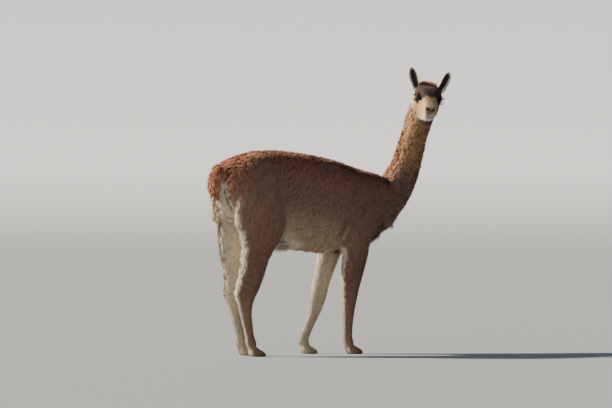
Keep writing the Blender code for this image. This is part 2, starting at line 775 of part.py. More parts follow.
def neck_coat(tree, trees, chance):
    """Close clumps round the neck, and longer locks down the nape."""
    made = []
    rows = between(NECK, 6)
    points = [Vector(row[:3]) for row in rows]
    spec = NECK_CLUMPS
    for row in range(spec["rows"]):
        index = 7 + round(row * 39 / (spec["rows"] - 1))
        axis = along_path(points, index)
        front = Matrix.Rotation(math.radians(-rows[index][6]), 3, "Z") @ Vector((0, -1, 0))
        for step in range(spec["round"]):
            turn = (step + 0.5 * (row % 2) + 0.5) / spec["round"] * 2 * math.pi + chance.uniform(-0.12, 0.12)
            if abs(turn % (2 * math.pi) - math.pi) < 0.42:
                continue
            aim = around(axis, front, turn)
            lie = -axis + aim.cross(axis) * chance.uniform(-0.35, 0.35)
            size = varied(spec["size"], chance)
            add_tuft(made, tree, trees, points[index], aim, lie, size, spec["lift"], sides=5)
    spec = NAPE_LOCKS
    for row in range(spec["rows"]):
        index = 13 + round(row * 33 / (spec["rows"] - 1))
        axis = along_path(points, index)
        front = Matrix.Rotation(math.radians(-rows[index][6]), 3, "Z") @ Vector((0, -1, 0))
        for turn in (math.pi - 0.22, math.pi + 0.22):
            aim = around(axis, front, turn + chance.uniform(-0.08, 0.08))
            lie = -axis + aim.cross(axis) * chance.uniform(-0.3, 0.3)
            add_tuft(made, tree, trees, points[index], aim, lie, varied(spec["size"], chance), spec["lift"])
    return made


def chest_coat(tree, trees, chance):
    """The pale fringe that hangs at the breast, and the fringe of the belly."""
    made = []
    spec = CHEST_LOCKS
    for index in range(spec["count"]):
        t = (index // 3) / (spec["count"] / 3 - 1)
        across = ((index % 3) - 1) * 0.026 + chance.uniform(-0.006, 0.006)
        start = Vector((across, -0.47 - 0.06 * t, 0.62 + 0.07 * t))
        aim = Vector((across * 4, -0.75 + 0.1 * (1 - t), -1.05 + 0.55 * t))
        lie = Vector((across * 2, 0.55, -0.75))
        droop = Vector((0, -0.04, -0.16))
        add_tuft(made, tree, trees, start, aim, lie, varied(spec["size"], chance), spec["lift"], droop)
    spec = BELLY_LOCKS
    for index in range(spec["count"]):
        y = 0.03 - 0.16 * (index // 3) / (spec["count"] / 3 - 1)
        across = ((index % 3) - 1) * 0.050
        start = Vector((across, y, 0.60))
        lie = Vector((across, 0.9, -0.35))
        size = varied(spec["size"], chance)
        add_tuft(made, tree, trees, start, Vector((across * 3, 0, -1)), lie, size, spec["lift"], Vector((0, 0, -0.05)))
    return made


def thigh_coat(tree, trees, chance, rows):
    """Locks that fringe the back of a hind leg from the buttock to above the hock."""
    made = []
    rows = between(rows, 6)
    spec = THIGH_LOCKS
    for index in range(spec["count"]):
        row = rows[20 + round(index * 25 / (spec["count"] - 1))]
        inward = 0.25 if row[0] < 0 else -0.25
        for lean in (-0.3, 0.3):
            if index % 2 and lean > 0:
                continue
            aim = Vector((lean + inward, 1.0, 0))
            lie = Vector((0, 0.45, -1.0))
            droop = Vector((0, 0.06, 0.0))
            size = [value * (1.0 - 0.4 * index / spec["count"]) for value in varied(spec["size"], chance)]
            lift = spec["lift"] * (1.0 - 0.5 * index / spec["count"])
            add_tuft(made, tree, trees, Vector(row[:3]), aim, lie, size, lift, droop)
    return made


def crown_coat(tree, trees, chance, frame):
    """Short locks across the crown between the ears."""
    made = []
    turn = frame.to_3x3()
    spec = CROWN_LOCKS
    for ahead, count in spec["rows"]:
        for index in range(count):
            across = (index - (count - 1) / 2) * spec["spread"] + chance.uniform(-0.003, 0.003)
            start = frame @ Vector((ahead, across, 0))
            lie = turn @ Vector((-1.0, across * 6, 0.1))
            size = varied(spec["size"], chance)
            add_tuft(made, tree, trees, start, turn @ Vector((0, across * 4, 1)), lie, size, spec["lift"])
    return made


def tail_coat(tree, trees, chance):
    """Long locks down both sides and the back of the tail."""
    made = []
    rows = between(TAIL, 6)
    spec = TAIL_LOCKS
    for row in range(spec["rows"]):
        index = 12 + round(row * 22 / (spec["rows"] - 1))
        point = Vector((0, rows[index][0], rows[index][1]))
        for step in range(spec["round"]):
            turn = (step - (spec["round"] - 1) / 2) * 0.72 + 0.25 * (row % 2 - 0.5)
            aim = Vector((math.sin(turn), math.cos(turn), 0.05))
            lie = Vector((math.sin(turn) * 0.25, 0.05, -1))
            add_tuft(made, tree, trees, point, aim, lie, varied(spec["size"], chance), spec["lift"])
    return made


def grow_coat(parts, frame):
    """Adds every lock and clump, each clear of the other parts and of the locks already on them."""
    chance = random.Random(SEED)
    trees = {name: surface_tree(made) for name, made in parts.items()}
    legs = ["leg_fore_right", "leg_fore_left", "leg_hind_right", "leg_hind_left"]
    jobs = (
        ("torso", ["neck", "tail"] + legs, chest_coat, ()),
        ("head", ["neck", "ear_left", "ear_right"], crown_coat, (frame,)),
        ("neck", ["head", "torso"], neck_coat, ()),
        ("leg_hind_right", ["torso", "tail", "leg_hind_left"], thigh_coat, (HIND_RIGHT,)),
        ("leg_hind_left", ["torso", "tail", "leg_hind_right"], thigh_coat, (HIND_LEFT,)),
        ("tail", legs[2:], tail_coat, ()),
    )
    for name, near, make, extra in jobs:
        tufts = make(trees[name], [trees[other] for other in near], chance, *extra)
        if tufts:
            join_to(parts[name], tufts)
            trees[name] = surface_tree(parts[name])


def finish(target, name, material):
    """Names a finished part, gives it its material and puts it in the animal's collection."""
    target.name = name
    target.data.name = name
    target.data.materials.clear()
    target.data.materials.append(material)
    for group in list(target.users_collection):
        group.objects.unlink(target)
    animal_collection().objects.link(target)


def animal_collection():
    group = bpy.data.collections.get("vicuna")
    if group is None:
        group = bpy.data.collections.new("vicuna")
        bpy.context.scene.collection.children.link(group)
    return group


def material(name, colour, roughness):
    made = bpy.data.materials.new(name)
    made.use_nodes = True
    shader = made.node_tree.nodes["Principled BSDF"]
    shader.inputs["Base Color"].default_value = (*colour, 1.0)
    shader.inputs["Roughness"].default_value = roughness
    return made


def main():
    for old in list(bpy.data.objects):
        bpy.data.objects.remove(old)
    frame = head_frame()
    pieces = [trunk_solid(), neck_solid()]
    legs = {"hind_right": HIND_RIGHT, "hind_left": HIND_LEFT, "fore_right": FORE_RIGHT, "fore_left": FORE_LEFT}
    for name, rows in legs.items():
        pieces.append(leg_solid(name, rows))
        pieces += toe_solids(name, rows)
    body = fuse("torso", pieces, BODY_VOXEL, 6, BODY_TRIANGLES)
    cut(body, prism("floor", ((-2, -FLOOR_CUT), (-2, 0), (2, 0), (2, -FLOOR_CUT)), -1, 1))

    orbits = [ball("orbit", frame, Vector(ORBIT_PLACE) * Vector((1, side, 1)), ORBIT) for side in (1, -1)]
    head = fuse("head", [head_solid(frame)] + orbits, HEAD_VOXEL, 4, HEAD_TRIANGLES)
    parts = {"torso": body, "head": head}
    dress_head(head, frame)
    for name, side in (("left", 1), ("right", -1)):
        place = Vector(EYE_PLACE) * Vector((1, side, 1))
        parts["eye_" + name] = ball("eye", frame, place, [EYE_RADIUS] * 3, 16)
        ear = ear_solid(frame, name)
        stub = duplicate(ear, "stub")
        root, axis, opening, across = ear_axes(frame, name)
        cut(stub, slab(root + axis * EAR_STUB, axis, opening, EAR_SLAB))
        cut(ear, slab(root + axis * (EAR_STUB + GAP), -axis, opening, EAR_SLAB))
        combine(head, stub, "UNION")
        bpy.data.objects.remove(stub)
        parts["ear_" + name] = ear

    parts["neck"] = split_off(body, "neck", NECK_CUT, -WIDE, WIDE)
    parts["leg_hind_right"] = split_off(body, "leg_hind_right", HIND_CUT, -WIDE, -GAP / 2)
    parts["leg_hind_left"] = split_off(body, "leg_hind_left", HIND_CUT, GAP / 2, WIDE)
    parts["leg_fore_right"] = split_off(body, "leg_fore_right", FORE_CUT, -WIDE, -FORE_CUT_INSIDE)
    parts["leg_fore_left"] = split_off(body, "leg_fore_left", FORE_CUT, FORE_CUT_INSIDE, WIDE)
    cut(parts["neck"], grown(head, SKIN_GAP))
    parts["tail"] = fuse("tail", [tail_solid()], 0.007, 3, 260)
    grow_coat(parts, frame)
    cut(parts["tail"], grown(body, SKIN_GAP))

    looks = {
        "coat": material("coat", (0.32, 0.15, 0.07), 0.9),
        "neck": material("neck_coat", (0.42, 0.24, 0.12), 0.9),
        "face": material("face_coat", (0.45, 0.31, 0.19), 0.85),
        "leg": material("leg_coat", (0.36, 0.20, 0.11), 0.9),
        "ear": material("ear_coat", (0.20, 0.14, 0.11), 0.9),
        "eye": material("eye", (0.010, 0.007, 0.006), 0.1),
    }
    kinds = {"torso": "coat", "tail": "coat", "neck": "neck", "head": "face"}
    for name, made in parts.items():
        kind = kinds.get(name, name.split("_")[0])
        finish(made, name, looks[kind])
    centre_outline(parts.values())


def centre_outline(made):
    """Moves every part so that the origin is under the middle of the outline's box."""
    points = [vertex.co for part in made for vertex in part.data.vertices]
    shift = Vector((0, 0, 0))
    for axis in (0, 1):
        values = [point[axis] for point in points]
        shift[axis] = -(min(values) + max(values)) / 2
    shift.z = -min(point.z for point in points)
    for part in made:
        part.data.transform(Matrix.Translation(shift))
    print("moved by", tuple(round(value, 5) for value in shift))


main()
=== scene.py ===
import math
import bmesh
import bpy
import numpy as np
from mathutils import Matrix, Vector


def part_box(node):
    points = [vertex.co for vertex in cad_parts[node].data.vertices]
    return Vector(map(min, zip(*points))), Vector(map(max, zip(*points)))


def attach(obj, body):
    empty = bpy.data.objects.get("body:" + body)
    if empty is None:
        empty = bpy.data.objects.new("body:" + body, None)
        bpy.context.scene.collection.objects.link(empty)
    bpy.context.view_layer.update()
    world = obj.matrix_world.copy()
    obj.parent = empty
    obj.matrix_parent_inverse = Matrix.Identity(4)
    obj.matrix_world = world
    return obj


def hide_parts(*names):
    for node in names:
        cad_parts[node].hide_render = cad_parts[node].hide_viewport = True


# A vicuna with its coat. Metres, z up, the body faces -Y and the head looks back to its right.
# The rows below are written with the withers near y = -0.35. moveIn puts them where the frame has them.

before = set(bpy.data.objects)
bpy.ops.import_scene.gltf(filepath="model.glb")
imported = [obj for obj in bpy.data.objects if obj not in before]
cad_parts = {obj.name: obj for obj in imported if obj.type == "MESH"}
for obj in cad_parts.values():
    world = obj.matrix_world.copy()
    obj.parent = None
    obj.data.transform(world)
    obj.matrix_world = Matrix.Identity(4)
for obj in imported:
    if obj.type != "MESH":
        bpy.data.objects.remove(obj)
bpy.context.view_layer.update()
print("frame loaded")

xAxis, yAxis, zAxis = np.eye(3)


def curveThrough(rows, steps):
    # Catmull-Rom rows between the given ones
    rows = np.array(rows, dtype=float)
    padded = np.vstack((rows[:1], rows, rows[-1:]))
    made = []
    for i in range(len(rows) - 1):
        p, q, r, s = padded[i:i + 4]
        for t in np.arange(steps) / steps:
            second = (2 * p - 5 * q + 4 * r - s) * t**2
            third = (3 * q - p - 3 * r + s) * t**3
            made.append(0.5 * (2 * q + (r - p) * t + second + third))
    made.append(rows[-1])
    return np.array(made)


def rowValues(rows, at, columns):
    # columns of the rows where their first column has these values
    return [np.interp(at, rows[:, 0], rows[:, k]) for k in columns]


def unit(v):
    return v / np.maximum(np.linalg.norm(v, axis=-1, keepdims=True), 1e-9)


def smooth(low, high, value):
    t = np.clip((value - low) / (high - low), 0.0, 1.0)
    return t * t * (3 - 2 * t)


def bump(away, width):
    # 1 at no distance, fading over the width
    return np.exp(-(away / width) ** 2)


def within(points, *spans):
    # a product of fades along x, y, z, or absX and absY without sign, each from 0 at the first value to 1
    amount = np.ones(len(points))
    for axis, low, high in spans:
        value = points[:, "xyz".index(axis[-1].lower())]
        amount *= smooth(low, high, np.abs(value) if axis.startswith("abs") else value)
    return amount


def mirrored(place, side):
    # side is 1 for the head's left and -1 for its right
    return np.array(place) * (1, side, 1)


def ring(centre, side, up, halfWidth, rise, drop, power=2.0, count=32):
    angle = 2 * np.pi * np.arange(count) / count
    across = np.sign(np.cos(angle)) * np.abs(np.cos(angle)) ** (2 / power)
    along = np.sign(np.sin(angle)) * np.abs(np.sin(angle)) ** (2 / power)
    reach = np.where(along > 0, rise, drop) * along
    return centre + np.outer(across * halfWidth, side) + np.outer(reach, up)


def link(name, mesh):
    made = bpy.data.objects.new(name, mesh)
    bpy.context.scene.collection.objects.link(made)
    return made


def loft(name, rings):
    # a closed solid through rings of equal counts
    count = len(rings[0])
    faces = [tuple(range(count))]
    for row in range(len(rings) - 1):
        for i in range(count):
            j = (i + 1) % count
            faces.append((row * count + i, row * count + j, (row + 1) * count + j, (row + 1) * count + i))
    last = (len(rings) - 1) * count
    faces.append(tuple(range(last + count - 1, last - 1, -1)))
    mesh = bpy.data.meshes.new(name)
    mesh.from_pydata([tuple(p) for r in rings for p in r], [], faces)
    shape = bmesh.new()
    shape.from_mesh(mesh)
    bmesh.ops.recalc_face_normals(shape, faces=shape.faces)
    shape.to_mesh(mesh)
    shape.free()
    return link(name, mesh)


def pathRings(path, front, sizes, count=28, power=2.05):
    # rings across a path, front is the side of the first reach
    tangent = unit(np.gradient(path, axis=0))
    rings = []
    for i in range(len(path)):
        ahead = unit(front[i] - tangent[i] * np.dot(front[i], tangent[i]))
        side = np.cross(tangent[i], ahead)
        rings.append(ring(path[i], side, ahead, sizes[i][0], sizes[i][1], sizes[i][2], power, count))
    return rings


# forwards, z of centre, half width, rise, drop, squareness, in the head's own axes
head = {
    "eyePoint": (-0.0785, -0.729, 1.159),
    "turn": 120.5,
    "drop": 20.5,
    "tilt": 8.5,
    "rows": (
        (-0.098, -0.008, 0.033, 0.024, 0.034, 2.0),
        (-0.088, -0.005, 0.050, 0.035, 0.054, 2.1),
        (-0.060, 0.000, 0.0605, 0.041, 0.080, 2.5),
        (-0.030, 0.000, 0.0630, 0.046, 0.097, 2.8),
        (0.000, 0.000, 0.0545, 0.045, 0.103, 3.0),
        (0.030, -0.002, 0.0405, 0.037, 0.097, 3.1),
        (0.060, -0.005, 0.0335, 0.024, 0.085, 2.9),
        (0.085, -0.008, 0.0290, 0.015, 0.074, 2.6),
        (0.104, -0.012, 0.0285, 0.011, 0.062, 2.4),
        (0.117, -0.018, 0.0255, 0.009, 0.050, 2.3),
        (0.125, -0.028, 0.0160, 0.008, 0.030, 2.0),
    ),
    "orbit": (0.0265, 0.0190, 0.0230),
    "orbitPlace": (0.002, 0.0425, 0.002),
    "sides": 48,
    "voxel": 0.0019,
    "softening": 7,
    "pathDrop": 0.018,
    "hair": 0.0100,
    "rise": 0.0020,
    "wide": 0.0022,
}


def headAxes():
    turn = Matrix.Rotation(math.radians(-90.0 - head["turn"]), 4, "Z")
    drop = Matrix.Rotation(math.radians(head["drop"]), 4, "Y")
    tilt = Matrix.Rotation(math.radians(-head["tilt"]), 4, "X")
    return Matrix.Translation(head["eyePoint"]) @ turn @ drop @ tilt


headMatrix = headAxes()
headTurn = np.array(headMatrix.to_3x3())
headPlace = np.array(head["eyePoint"])


def toHead(points):
    return (points - headPlace) @ headTurn


def fromHead(points):
    return points @ headTurn.T + headPlace


def coordinates(mesh):
    flat = np.empty(len(mesh.vertices) * 3)
    mesh.vertices.foreach_get("co", flat)
    return flat.reshape(-1, 3)


def setCoordinates(mesh, points):
    mesh.vertices.foreach_set("co", points.ravel())
    mesh.update()


def vertexNormals(mesh):
    flat = np.empty(len(mesh.vertices) * 3)
    mesh.vertex_normals.foreach_get("vector", flat)
    return flat.reshape(-1, 3)


def applyModifiers(target):
    graph = bpy.context.evaluated_depsgraph_get()
    mesh = bpy.data.meshes.new_from_object(target.evaluated_get(graph))
    target.modifiers.clear()
    target.data = mesh


def fuse(name, pieces, voxel, softening):
    joined = bmesh.new()
    for piece in pieces:
        joined.from_mesh(piece.data)
        bpy.data.objects.remove(piece)
    mesh = bpy.data.meshes.new(name)
    joined.to_mesh(mesh)
    joined.free()
    made = link(name, mesh)
    remesh = made.modifiers.new("fuse", "REMESH")
    remesh.mode = "VOXEL"
    remesh.voxel_size = voxel
    soften = made.modifiers.new("soften", "SMOOTH")
    soften.factor = 0.5
    soften.iterations = softening
    applyModifiers(made)
    return made


def unite(target, other):
    step = target.modifiers.new("join", "BOOLEAN")
    step.operation = "UNION"
    step.solver = "MANIFOLD"
    step.object = other
    applyModifiers(target)
    bpy.data.objects.remove(other)


# the forms, each kept as a path with its sizes so that the coat can follow it
forms = []


def addForm(name, path, radius, lie, coatSizes):
    # coatSizes has one value for the form, or one for each point of its path
    form = {"name": name, "path": path, "lie": unit(np.broadcast_to(lie, path.shape))}
    sizes = {key: coatSizes[key] for key in ("hair", "rise", "wide")}
    sizes["radius"] = radius
    for key, value in sizes.items():
        form[key] = np.broadcast_to(np.asarray(value, dtype=float), (len(path),)).copy()
    forms.append(form)


# y, top z, bottom z, half width, z of the widest point
trunk = {
    "rows": (
        (0.392, 0.815, 0.730, 0.045, 0.775),
        (0.380, 0.850, 0.680, 0.080, 0.770),
        (0.345, 0.876, 0.635, 0.112, 0.765),
        (0.285, 0.899, 0.595, 0.134, 0.755),
        (0.210, 0.918, 0.565, 0.140, 0.745),
        (0.120, 0.925, 0.535, 0.136, 0.725),
        (0.040, 0.921, 0.498, 0.137, 0.695),
        (-0.060, 0.911, 0.476, 0.145, 0.680),
        (-0.160, 0.895, 0.466, 0.147, 0.670),
        (-0.250, 0.877, 0.459, 0.141, 0.670),
        (-0.340, 0.850, 0.466, 0.130, 0.665),
        (-0.420, 0.829, 0.502, 0.118, 0.670),
        (-0.500, 0.811, 0.555, 0.101, 0.685),
        (-0.565, 0.785, 0.610, 0.080, 0.700),
        (-0.610, 0.750, 0.660, 0.050, 0.705),
    ),
    "squareness": 2.15,
    "sides": 40,
    "lie": (0, 1, -0.4),  # which way the coat lies
    "hair": 0.025,  # the coat's length
    "rise": 0.0080,  # how far a tip stands off the skin
    "wide": 0.0036,
    "clump": 0.016,
}


def makeTrunk():
    rows = curveThrough(trunk["rows"], 4)
    rings = []
    for y, top, bottom, halfWidth, widest in rows:
        centre = np.array((0.0, y, widest))
        reach = (halfWidth, top - widest, widest - bottom)
        rings.append(ring(centre, xAxis, zAxis, *reach, trunk["squareness"], trunk["sides"]))
    path = np.stack((0 * rows[:, 0], rows[:, 0], rows[:, 4]), axis=1)
    addForm("trunk", path, rows[:, 3], trunk["lie"], trunk)
    return loft("trunkForm", rings)


# x, y, z, half width, reach to the throat, reach to the nape, turn in degrees
neck = {
    "rows": (
        (0.000, -0.480, 0.660, 0.090, 0.113, 0.090, 0),
        (0.000, -0.560, 0.725, 0.084, 0.101, 0.074, 4),
        (-0.001, -0.613, 0.795, 0.077, 0.091, 0.064, 12),
        (-0.002, -0.651, 0.860, 0.070, 0.079, 0.059, 24),
        (-0.003, -0.679, 0.925, 0.065, 0.070, 0.059, 40),
        (-0.003, -0.705, 0.990, 0.062, 0.064, 0.059, 58),
        (-0.005, -0.729, 1.050, 0.063, 0.062, 0.062, 78),
        (-0.009, -0.746, 1.105, 0.063, 0.058, 0.057, 98),
        (-0.015, -0.753, 1.145, 0.055, 0.045, 0.036, 114),
        (-0.020, -0.753, 1.175, 0.040, 0.030, 0.026, 118),
    ),
    "sides": 36,
    "hair": 0.015,
    "rise": 0.0092,
    "wide": 0.0028,
    "clump": 0.0100,
}


def makeNeck():
    rows = curveThrough(neck["rows"], 5)
    path = rows[:, :3]
    angle = np.radians(rows[:, 6])
    front = np.stack((-np.sin(angle), -np.cos(angle), 0 * angle), axis=1)
    addForm("neck", path, rows[:, 3:6].mean(axis=1), -np.gradient(path, axis=0), neck)
    forms[-1]["front"] = front
    return loft("neckForm", pathRings(path, front, rows[:, 3:6], neck["sides"]))


def neckFront(station):
    # which way the throat faces at each point's place along the neck
    names = [form["name"] for form in forms]
    return forms[names.index("neck")]["front"][station["neck"]]


# x, y, z, half width, reach forwards, reach back
legs = {
    "hindRight": (
        (-0.066, 0.215, 0.800, 0.060, 0.100, 0.110),
        (-0.086, 0.218, 0.730, 0.070, 0.122, 0.135),
        (-0.091, 0.216, 0.660, 0.068, 0.130, 0.140),
        (-0.088, 0.207, 0.592, 0.060, 0.122, 0.128),
        (-0.083, 0.221, 0.500, 0.049, 0.080, 0.084),
        (-0.080, 0.236, 0.446, 0.042, 0.066, 0.069),
        (-0.077, 0.251, 0.381, 0.037, 0.059, 0.062),
        (-0.075, 0.272, 0.317, 0.032, 0.054, 0.058),
        (-0.074, 0.288, 0.275, 0.030, 0.047, 0.054),
        (-0.074, 0.292, 0.235, 0.026, 0.038, 0.042),
        (-0.074, 0.291, 0.198, 0.023, 0.031, 0.034),
        (-0.074, 0.282, 0.150, 0.020, 0.026, 0.028),
        (-0.074, 0.273, 0.105, 0.019, 0.023, 0.024),
        (-0.074, 0.267, 0.075, 0.022, 0.025, 0.026),
        (-0.074, 0.257, 0.048, 0.022, 0.026, 0.025),
    ),
    "hindLeft": (
        (0.066, 0.205, 0.800, 0.060, 0.100, 0.110),
        (0.086, 0.205, 0.730, 0.070, 0.122, 0.142),
        (0.091, 0.200, 0.660, 0.068, 0.130, 0.142),
        (0.088, 0.192, 0.592, 0.060, 0.122, 0.136),
        (0.078, 0.223, 0.500, 0.049, 0.080, 0.094),
        (0.074, 0.224, 0.446, 0.042, 0.066, 0.084),
        (0.070, 0.230, 0.381, 0.037, 0.059, 0.070),
        (0.067, 0.238, 0.317, 0.032, 0.054, 0.058),
        (0.066, 0.249, 0.275, 0.030, 0.047, 0.054),
        (0.066, 0.249, 0.235, 0.026, 0.038, 0.042),
        (0.066, 0.242, 0.198, 0.023, 0.031, 0.034),
        (0.065, 0.235, 0.150, 0.020, 0.026, 0.028),
        (0.065, 0.227, 0.105, 0.019, 0.023, 0.024),
        (0.065, 0.221, 0.075, 0.022, 0.025, 0.026),
        (0.065, 0.211, 0.048, 0.022, 0.026, 0.025),
    ),
    "foreRight": (
        (-0.066, -0.330, 0.720, 0.060, 0.085, 0.100),
        (-0.080, -0.325, 0.640, 0.064, 0.088, 0.105),
        (-0.084, -0.318, 0.560, 0.058, 0.080, 0.092),
        (-0.083, -0.313, 0.500, 0.050, 0.071, 0.076),
        (-0.081, -0.311, 0.455, 0.045, 0.066, 0.066),
        (-0.078, -0.296, 0.363, 0.037, 0.056, 0.057),
        (-0.076, -0.286, 0.300, 0.033, 0.047, 0.046),
        (-0.075, -0.283, 0.262, 0.031, 0.042, 0.042),
        (-0.075, -0.280, 0.220, 0.027, 0.034, 0.034),
        (-0.075, -0.278, 0.180, 0.023, 0.029, 0.030),
        (-0.075, -0.276, 0.130, 0.020, 0.024, 0.026),
        (-0.075, -0.274, 0.090, 0.020, 0.023, 0.025),
        (-0.075, -0.274, 0.068, 0.022, 0.024, 0.026),
        (-0.075, -0.282, 0.045, 0.022, 0.026, 0.025),
    ),
    "foreLeft": (
        (0.066, -0.330, 0.720, 0.060, 0.085, 0.100),
        (0.080, -0.320, 0.640, 0.064, 0.088, 0.105),
        (0.083, -0.305, 0.560, 0.056, 0.080, 0.088),
        (0.080, -0.291, 0.500, 0.048, 0.068, 0.070),
        (0.077, -0.277, 0.446, 0.041, 0.057, 0.055),
        (0.073, -0.238, 0.338, 0.034, 0.043, 0.044),
        (0.071, -0.222, 0.285, 0.032, 0.042, 0.042),
        (0.070, -0.208, 0.240, 0.030, 0.039, 0.039),
        (0.069, -0.192, 0.190, 0.025, 0.030, 0.031),
        (0.068, -0.174, 0.151, 0.021, 0.024, 0.026),
        (0.068, -0.154, 0.110, 0.020, 0.022, 0.024),
        (0.068, -0.136, 0.076, 0.021, 0.023, 0.026),
        (0.068, -0.132, 0.045, 0.022, 0.026, 0.026),
    ),
}
legCoat = {
    "between": (0.62, 0.12),  # heights over which it shortens towards the foot
    "hair": (0.022, 0.0065),
    "rise": (0.0065, 0.0016),
    "wide": (0.0032, 0.00208),
    "sides": 28,
    "squareness": 2.1,
}

# forwards of the fetlock, outwards, z, half width, half height
toe = {
    "rows": (
        (-0.010, 0.009, 0.034, 0.0130, 0.022),
        (0.010, 0.012, 0.022, 0.0150, 0.025),
        (0.030, 0.0145, 0.0150, 0.0148, 0.0185),
        (0.048, 0.0150, 0.0105, 0.0128, 0.0145),
        (0.060, 0.0150, 0.0080, 0.0085, 0.0105),
    ),
    "steps": 3,
    "squareness": 2.2,
    "sides": 20,
    "under": 1.0,
}
nail = {
    "rows": (
        (0.040, 0.0150, 0.0170, 0.0068, 0.0075),
        (0.054, 0.0150, 0.0125, 0.0072, 0.0068),
        (0.066, 0.0150, 0.0062, 0.0035, 0.0036),
    ),
    "steps": 5,
    "squareness": 2.0,
    "sides": 16,
    "under": 0.6,  # of the height, below the middle
}


def toeRings(foot, outwards, shape):
    rings = []
    for ahead, out, z, halfWidth, halfHeight in curveThrough(shape["rows"], shape["steps"]):
        centre = np.array((foot[0] + outwards * out, foot[1] - ahead, z))
        reach = (halfWidth, halfHeight, halfHeight * shape["under"])
        rings.append(ring(centre, xAxis, zAxis, *reach, shape["squareness"], shape["sides"]))
    return rings


def makeLeg(name):
    rows = curveThrough(legs[name], 4)
    path = rows[:, :3]
    front = np.tile((0.0, -1.0, 0.0), (len(path), 1))
    down = smooth(*legCoat["between"], path[:, 2])
    coatSizes = {}
    for key in ("hair", "rise", "wide"):
        atTop, atFoot = legCoat[key]
        coatSizes[key] = atTop * (1 - down) + atFoot * down
    addForm(name, path, rows[:, 3:6].mean(axis=1), np.gradient(path, axis=0), coatSizes)
    rings = pathRings(path, front, rows[:, 3:6], legCoat["sides"], legCoat["squareness"])
    made = [loft(name + "Form", rings)]
    for outwards in (-1, 1):
        made.append(loft(name + "Toe", toeRings(rows[-1], outwards, toe)))
    return made


# y, z, half width, half depth
tail = {
    "rows": (
        (0.345, 0.845, 0.040, 0.026),
        (0.373, 0.840, 0.042, 0.028),
        (0.393, 0.823, 0.041, 0.027),
        (0.404, 0.792, 0.041, 0.027),
        (0.408, 0.757, 0.038, 0.026),
        (0.407, 0.730, 0.031, 0.022),
        (0.405, 0.712, 0.020, 0.015),
    ),
    "sides": 24,
    "hair": 0.036,
    "rise": 0.010,
    "wide": 0.0040,
}


def makeTail():
    rows = curveThrough(tail["rows"], 5)
    path = np.stack((0 * rows[:, 0], rows[:, 0], rows[:, 1]), axis=1)
    front = np.tile(xAxis, (len(path), 1))
    addForm("tail", path, rows[:, 2:4].mean(axis=1), np.gradient(path, axis=0), tail)
    return loft("tailForm", pathRings(path, front, rows[:, [3, 2, 2]], tail["sides"]))


def makeHead():
    rows = curveThrough(head["rows"], 5)
    rings = []
    for ahead, z, halfWidth, rise, drop, squareness in rows:
        centre = np.array((ahead, 0, z))
        rings.append(fromHead(ring(centre, yAxis, zAxis, halfWidth, rise, drop, squareness, head["sides"])))
    path = fromHead(np.stack((rows[:, 0], 0 * rows[:, 0], rows[:, 1] - head["pathDrop"]), axis=1))
    back = -headTurn[:, 0] - 0.25 * headTurn[:, 2]
    # the coat is shorter and flatter towards the nose
    nose = smooth(-0.02, 0.11, rows[:, 0])
    coatSizes = {
        "hair": head["hair"] * (1 - 0.62 * nose),
        "rise": head["rise"] * (1 - 0.5 * nose),
        "wide": head["wide"],
    }
    addForm("head", path, (rows[:, 2] * 2 + rows[:, 3] + rows[:, 4]) / 4, back, coatSizes)
    pieces = [loft("skullForm", rings)]
    for side in (1, -1):
        shape = bmesh.new()
        bmesh.ops.create_uvsphere(shape, u_segments=32, v_segments=16, radius=1.0)
        place = Vector(head["orbitPlace"]) * Vector((1, side, 1))
        sizes = Matrix.Diagonal((*head["orbit"], 1.0))
        bmesh.ops.transform(shape, matrix=headMatrix @ Matrix.Translation(place) @ sizes, verts=shape.verts)
        mesh = bpy.data.meshes.new("orbit")
        shape.to_mesh(mesh)
        shape.free()
        pieces.append(link("orbit", mesh))
    made = fuse("headSkin", pieces, head["voxel"], head["softening"])
    sculptHead(made.data)
    return made


eye = {
    "place": (0.0040, 0.0470, -0.001),
    "radius": 0.0165,
    "aim": (0.57, 0.82, 0.05),
    "opening": (0.86, 0.62),  # of the radius, along the face and upwards
    "cornerDrop": 0.22,  # of the front corner, which runs down into the tear mark
    "lid": 0.0022,
    "lidRim": (1.22, 0.20),  # place and width, in openings
    "lidFold": (1.62, 0.16),
    "foldDepth": 0.0012,
    "sunk": 0.0030,  # of the skin behind the ball
}
# forwards, outwards and z from the eye, size, height
facePads = (
    (0.004, 0.004, 0.019, 0.013, 0.0040),  # brow
    (-0.032, 0.000, 0.012, 0.016, -0.0040),  # temple
    (0.020, 0.002, -0.024, 0.014, 0.0030),  # cheekbone
    (0.036, -0.006, -0.004, 0.015, -0.0032),  # dip before the eye
    (0.066, -0.016, -0.026, 0.018, -0.0026),  # hollow of the cheek
)


def eyeAxes(side):
    outward = mirrored(eye["aim"], side)
    outward = outward / np.linalg.norm(outward)
    along = np.array((outward[1] * side, -outward[0] * side, 0.0))
    along = along / np.linalg.norm(along)
    upward = np.cross(along, outward) * side
    return mirrored(eye["place"], side), outward, along, upward


def cornerDrop(u):
    return eye["cornerDrop"] * np.clip(u, 0, 1) ** 1.5


def eyeMeasure(local, side):
    # how far outside the opening a point is: under 1 is inside it, and its distance from the eye's centre
    place, outward, along, upward = eyeAxes(side)
    offset = local - place
    reach = np.linalg.norm(offset, axis=1)
    way = offset / np.maximum(reach, 1e-6)[:, None]
    facing = way @ outward
    u = way @ along
    v = way @ upward
    v = v + cornerDrop(u)
    measure = np.sqrt((u / eye["opening"][0]) ** 2 + (v / eye["opening"][1]) ** 2)
    return np.where(facing > 0.15, measure, 9.0), reach, u, v


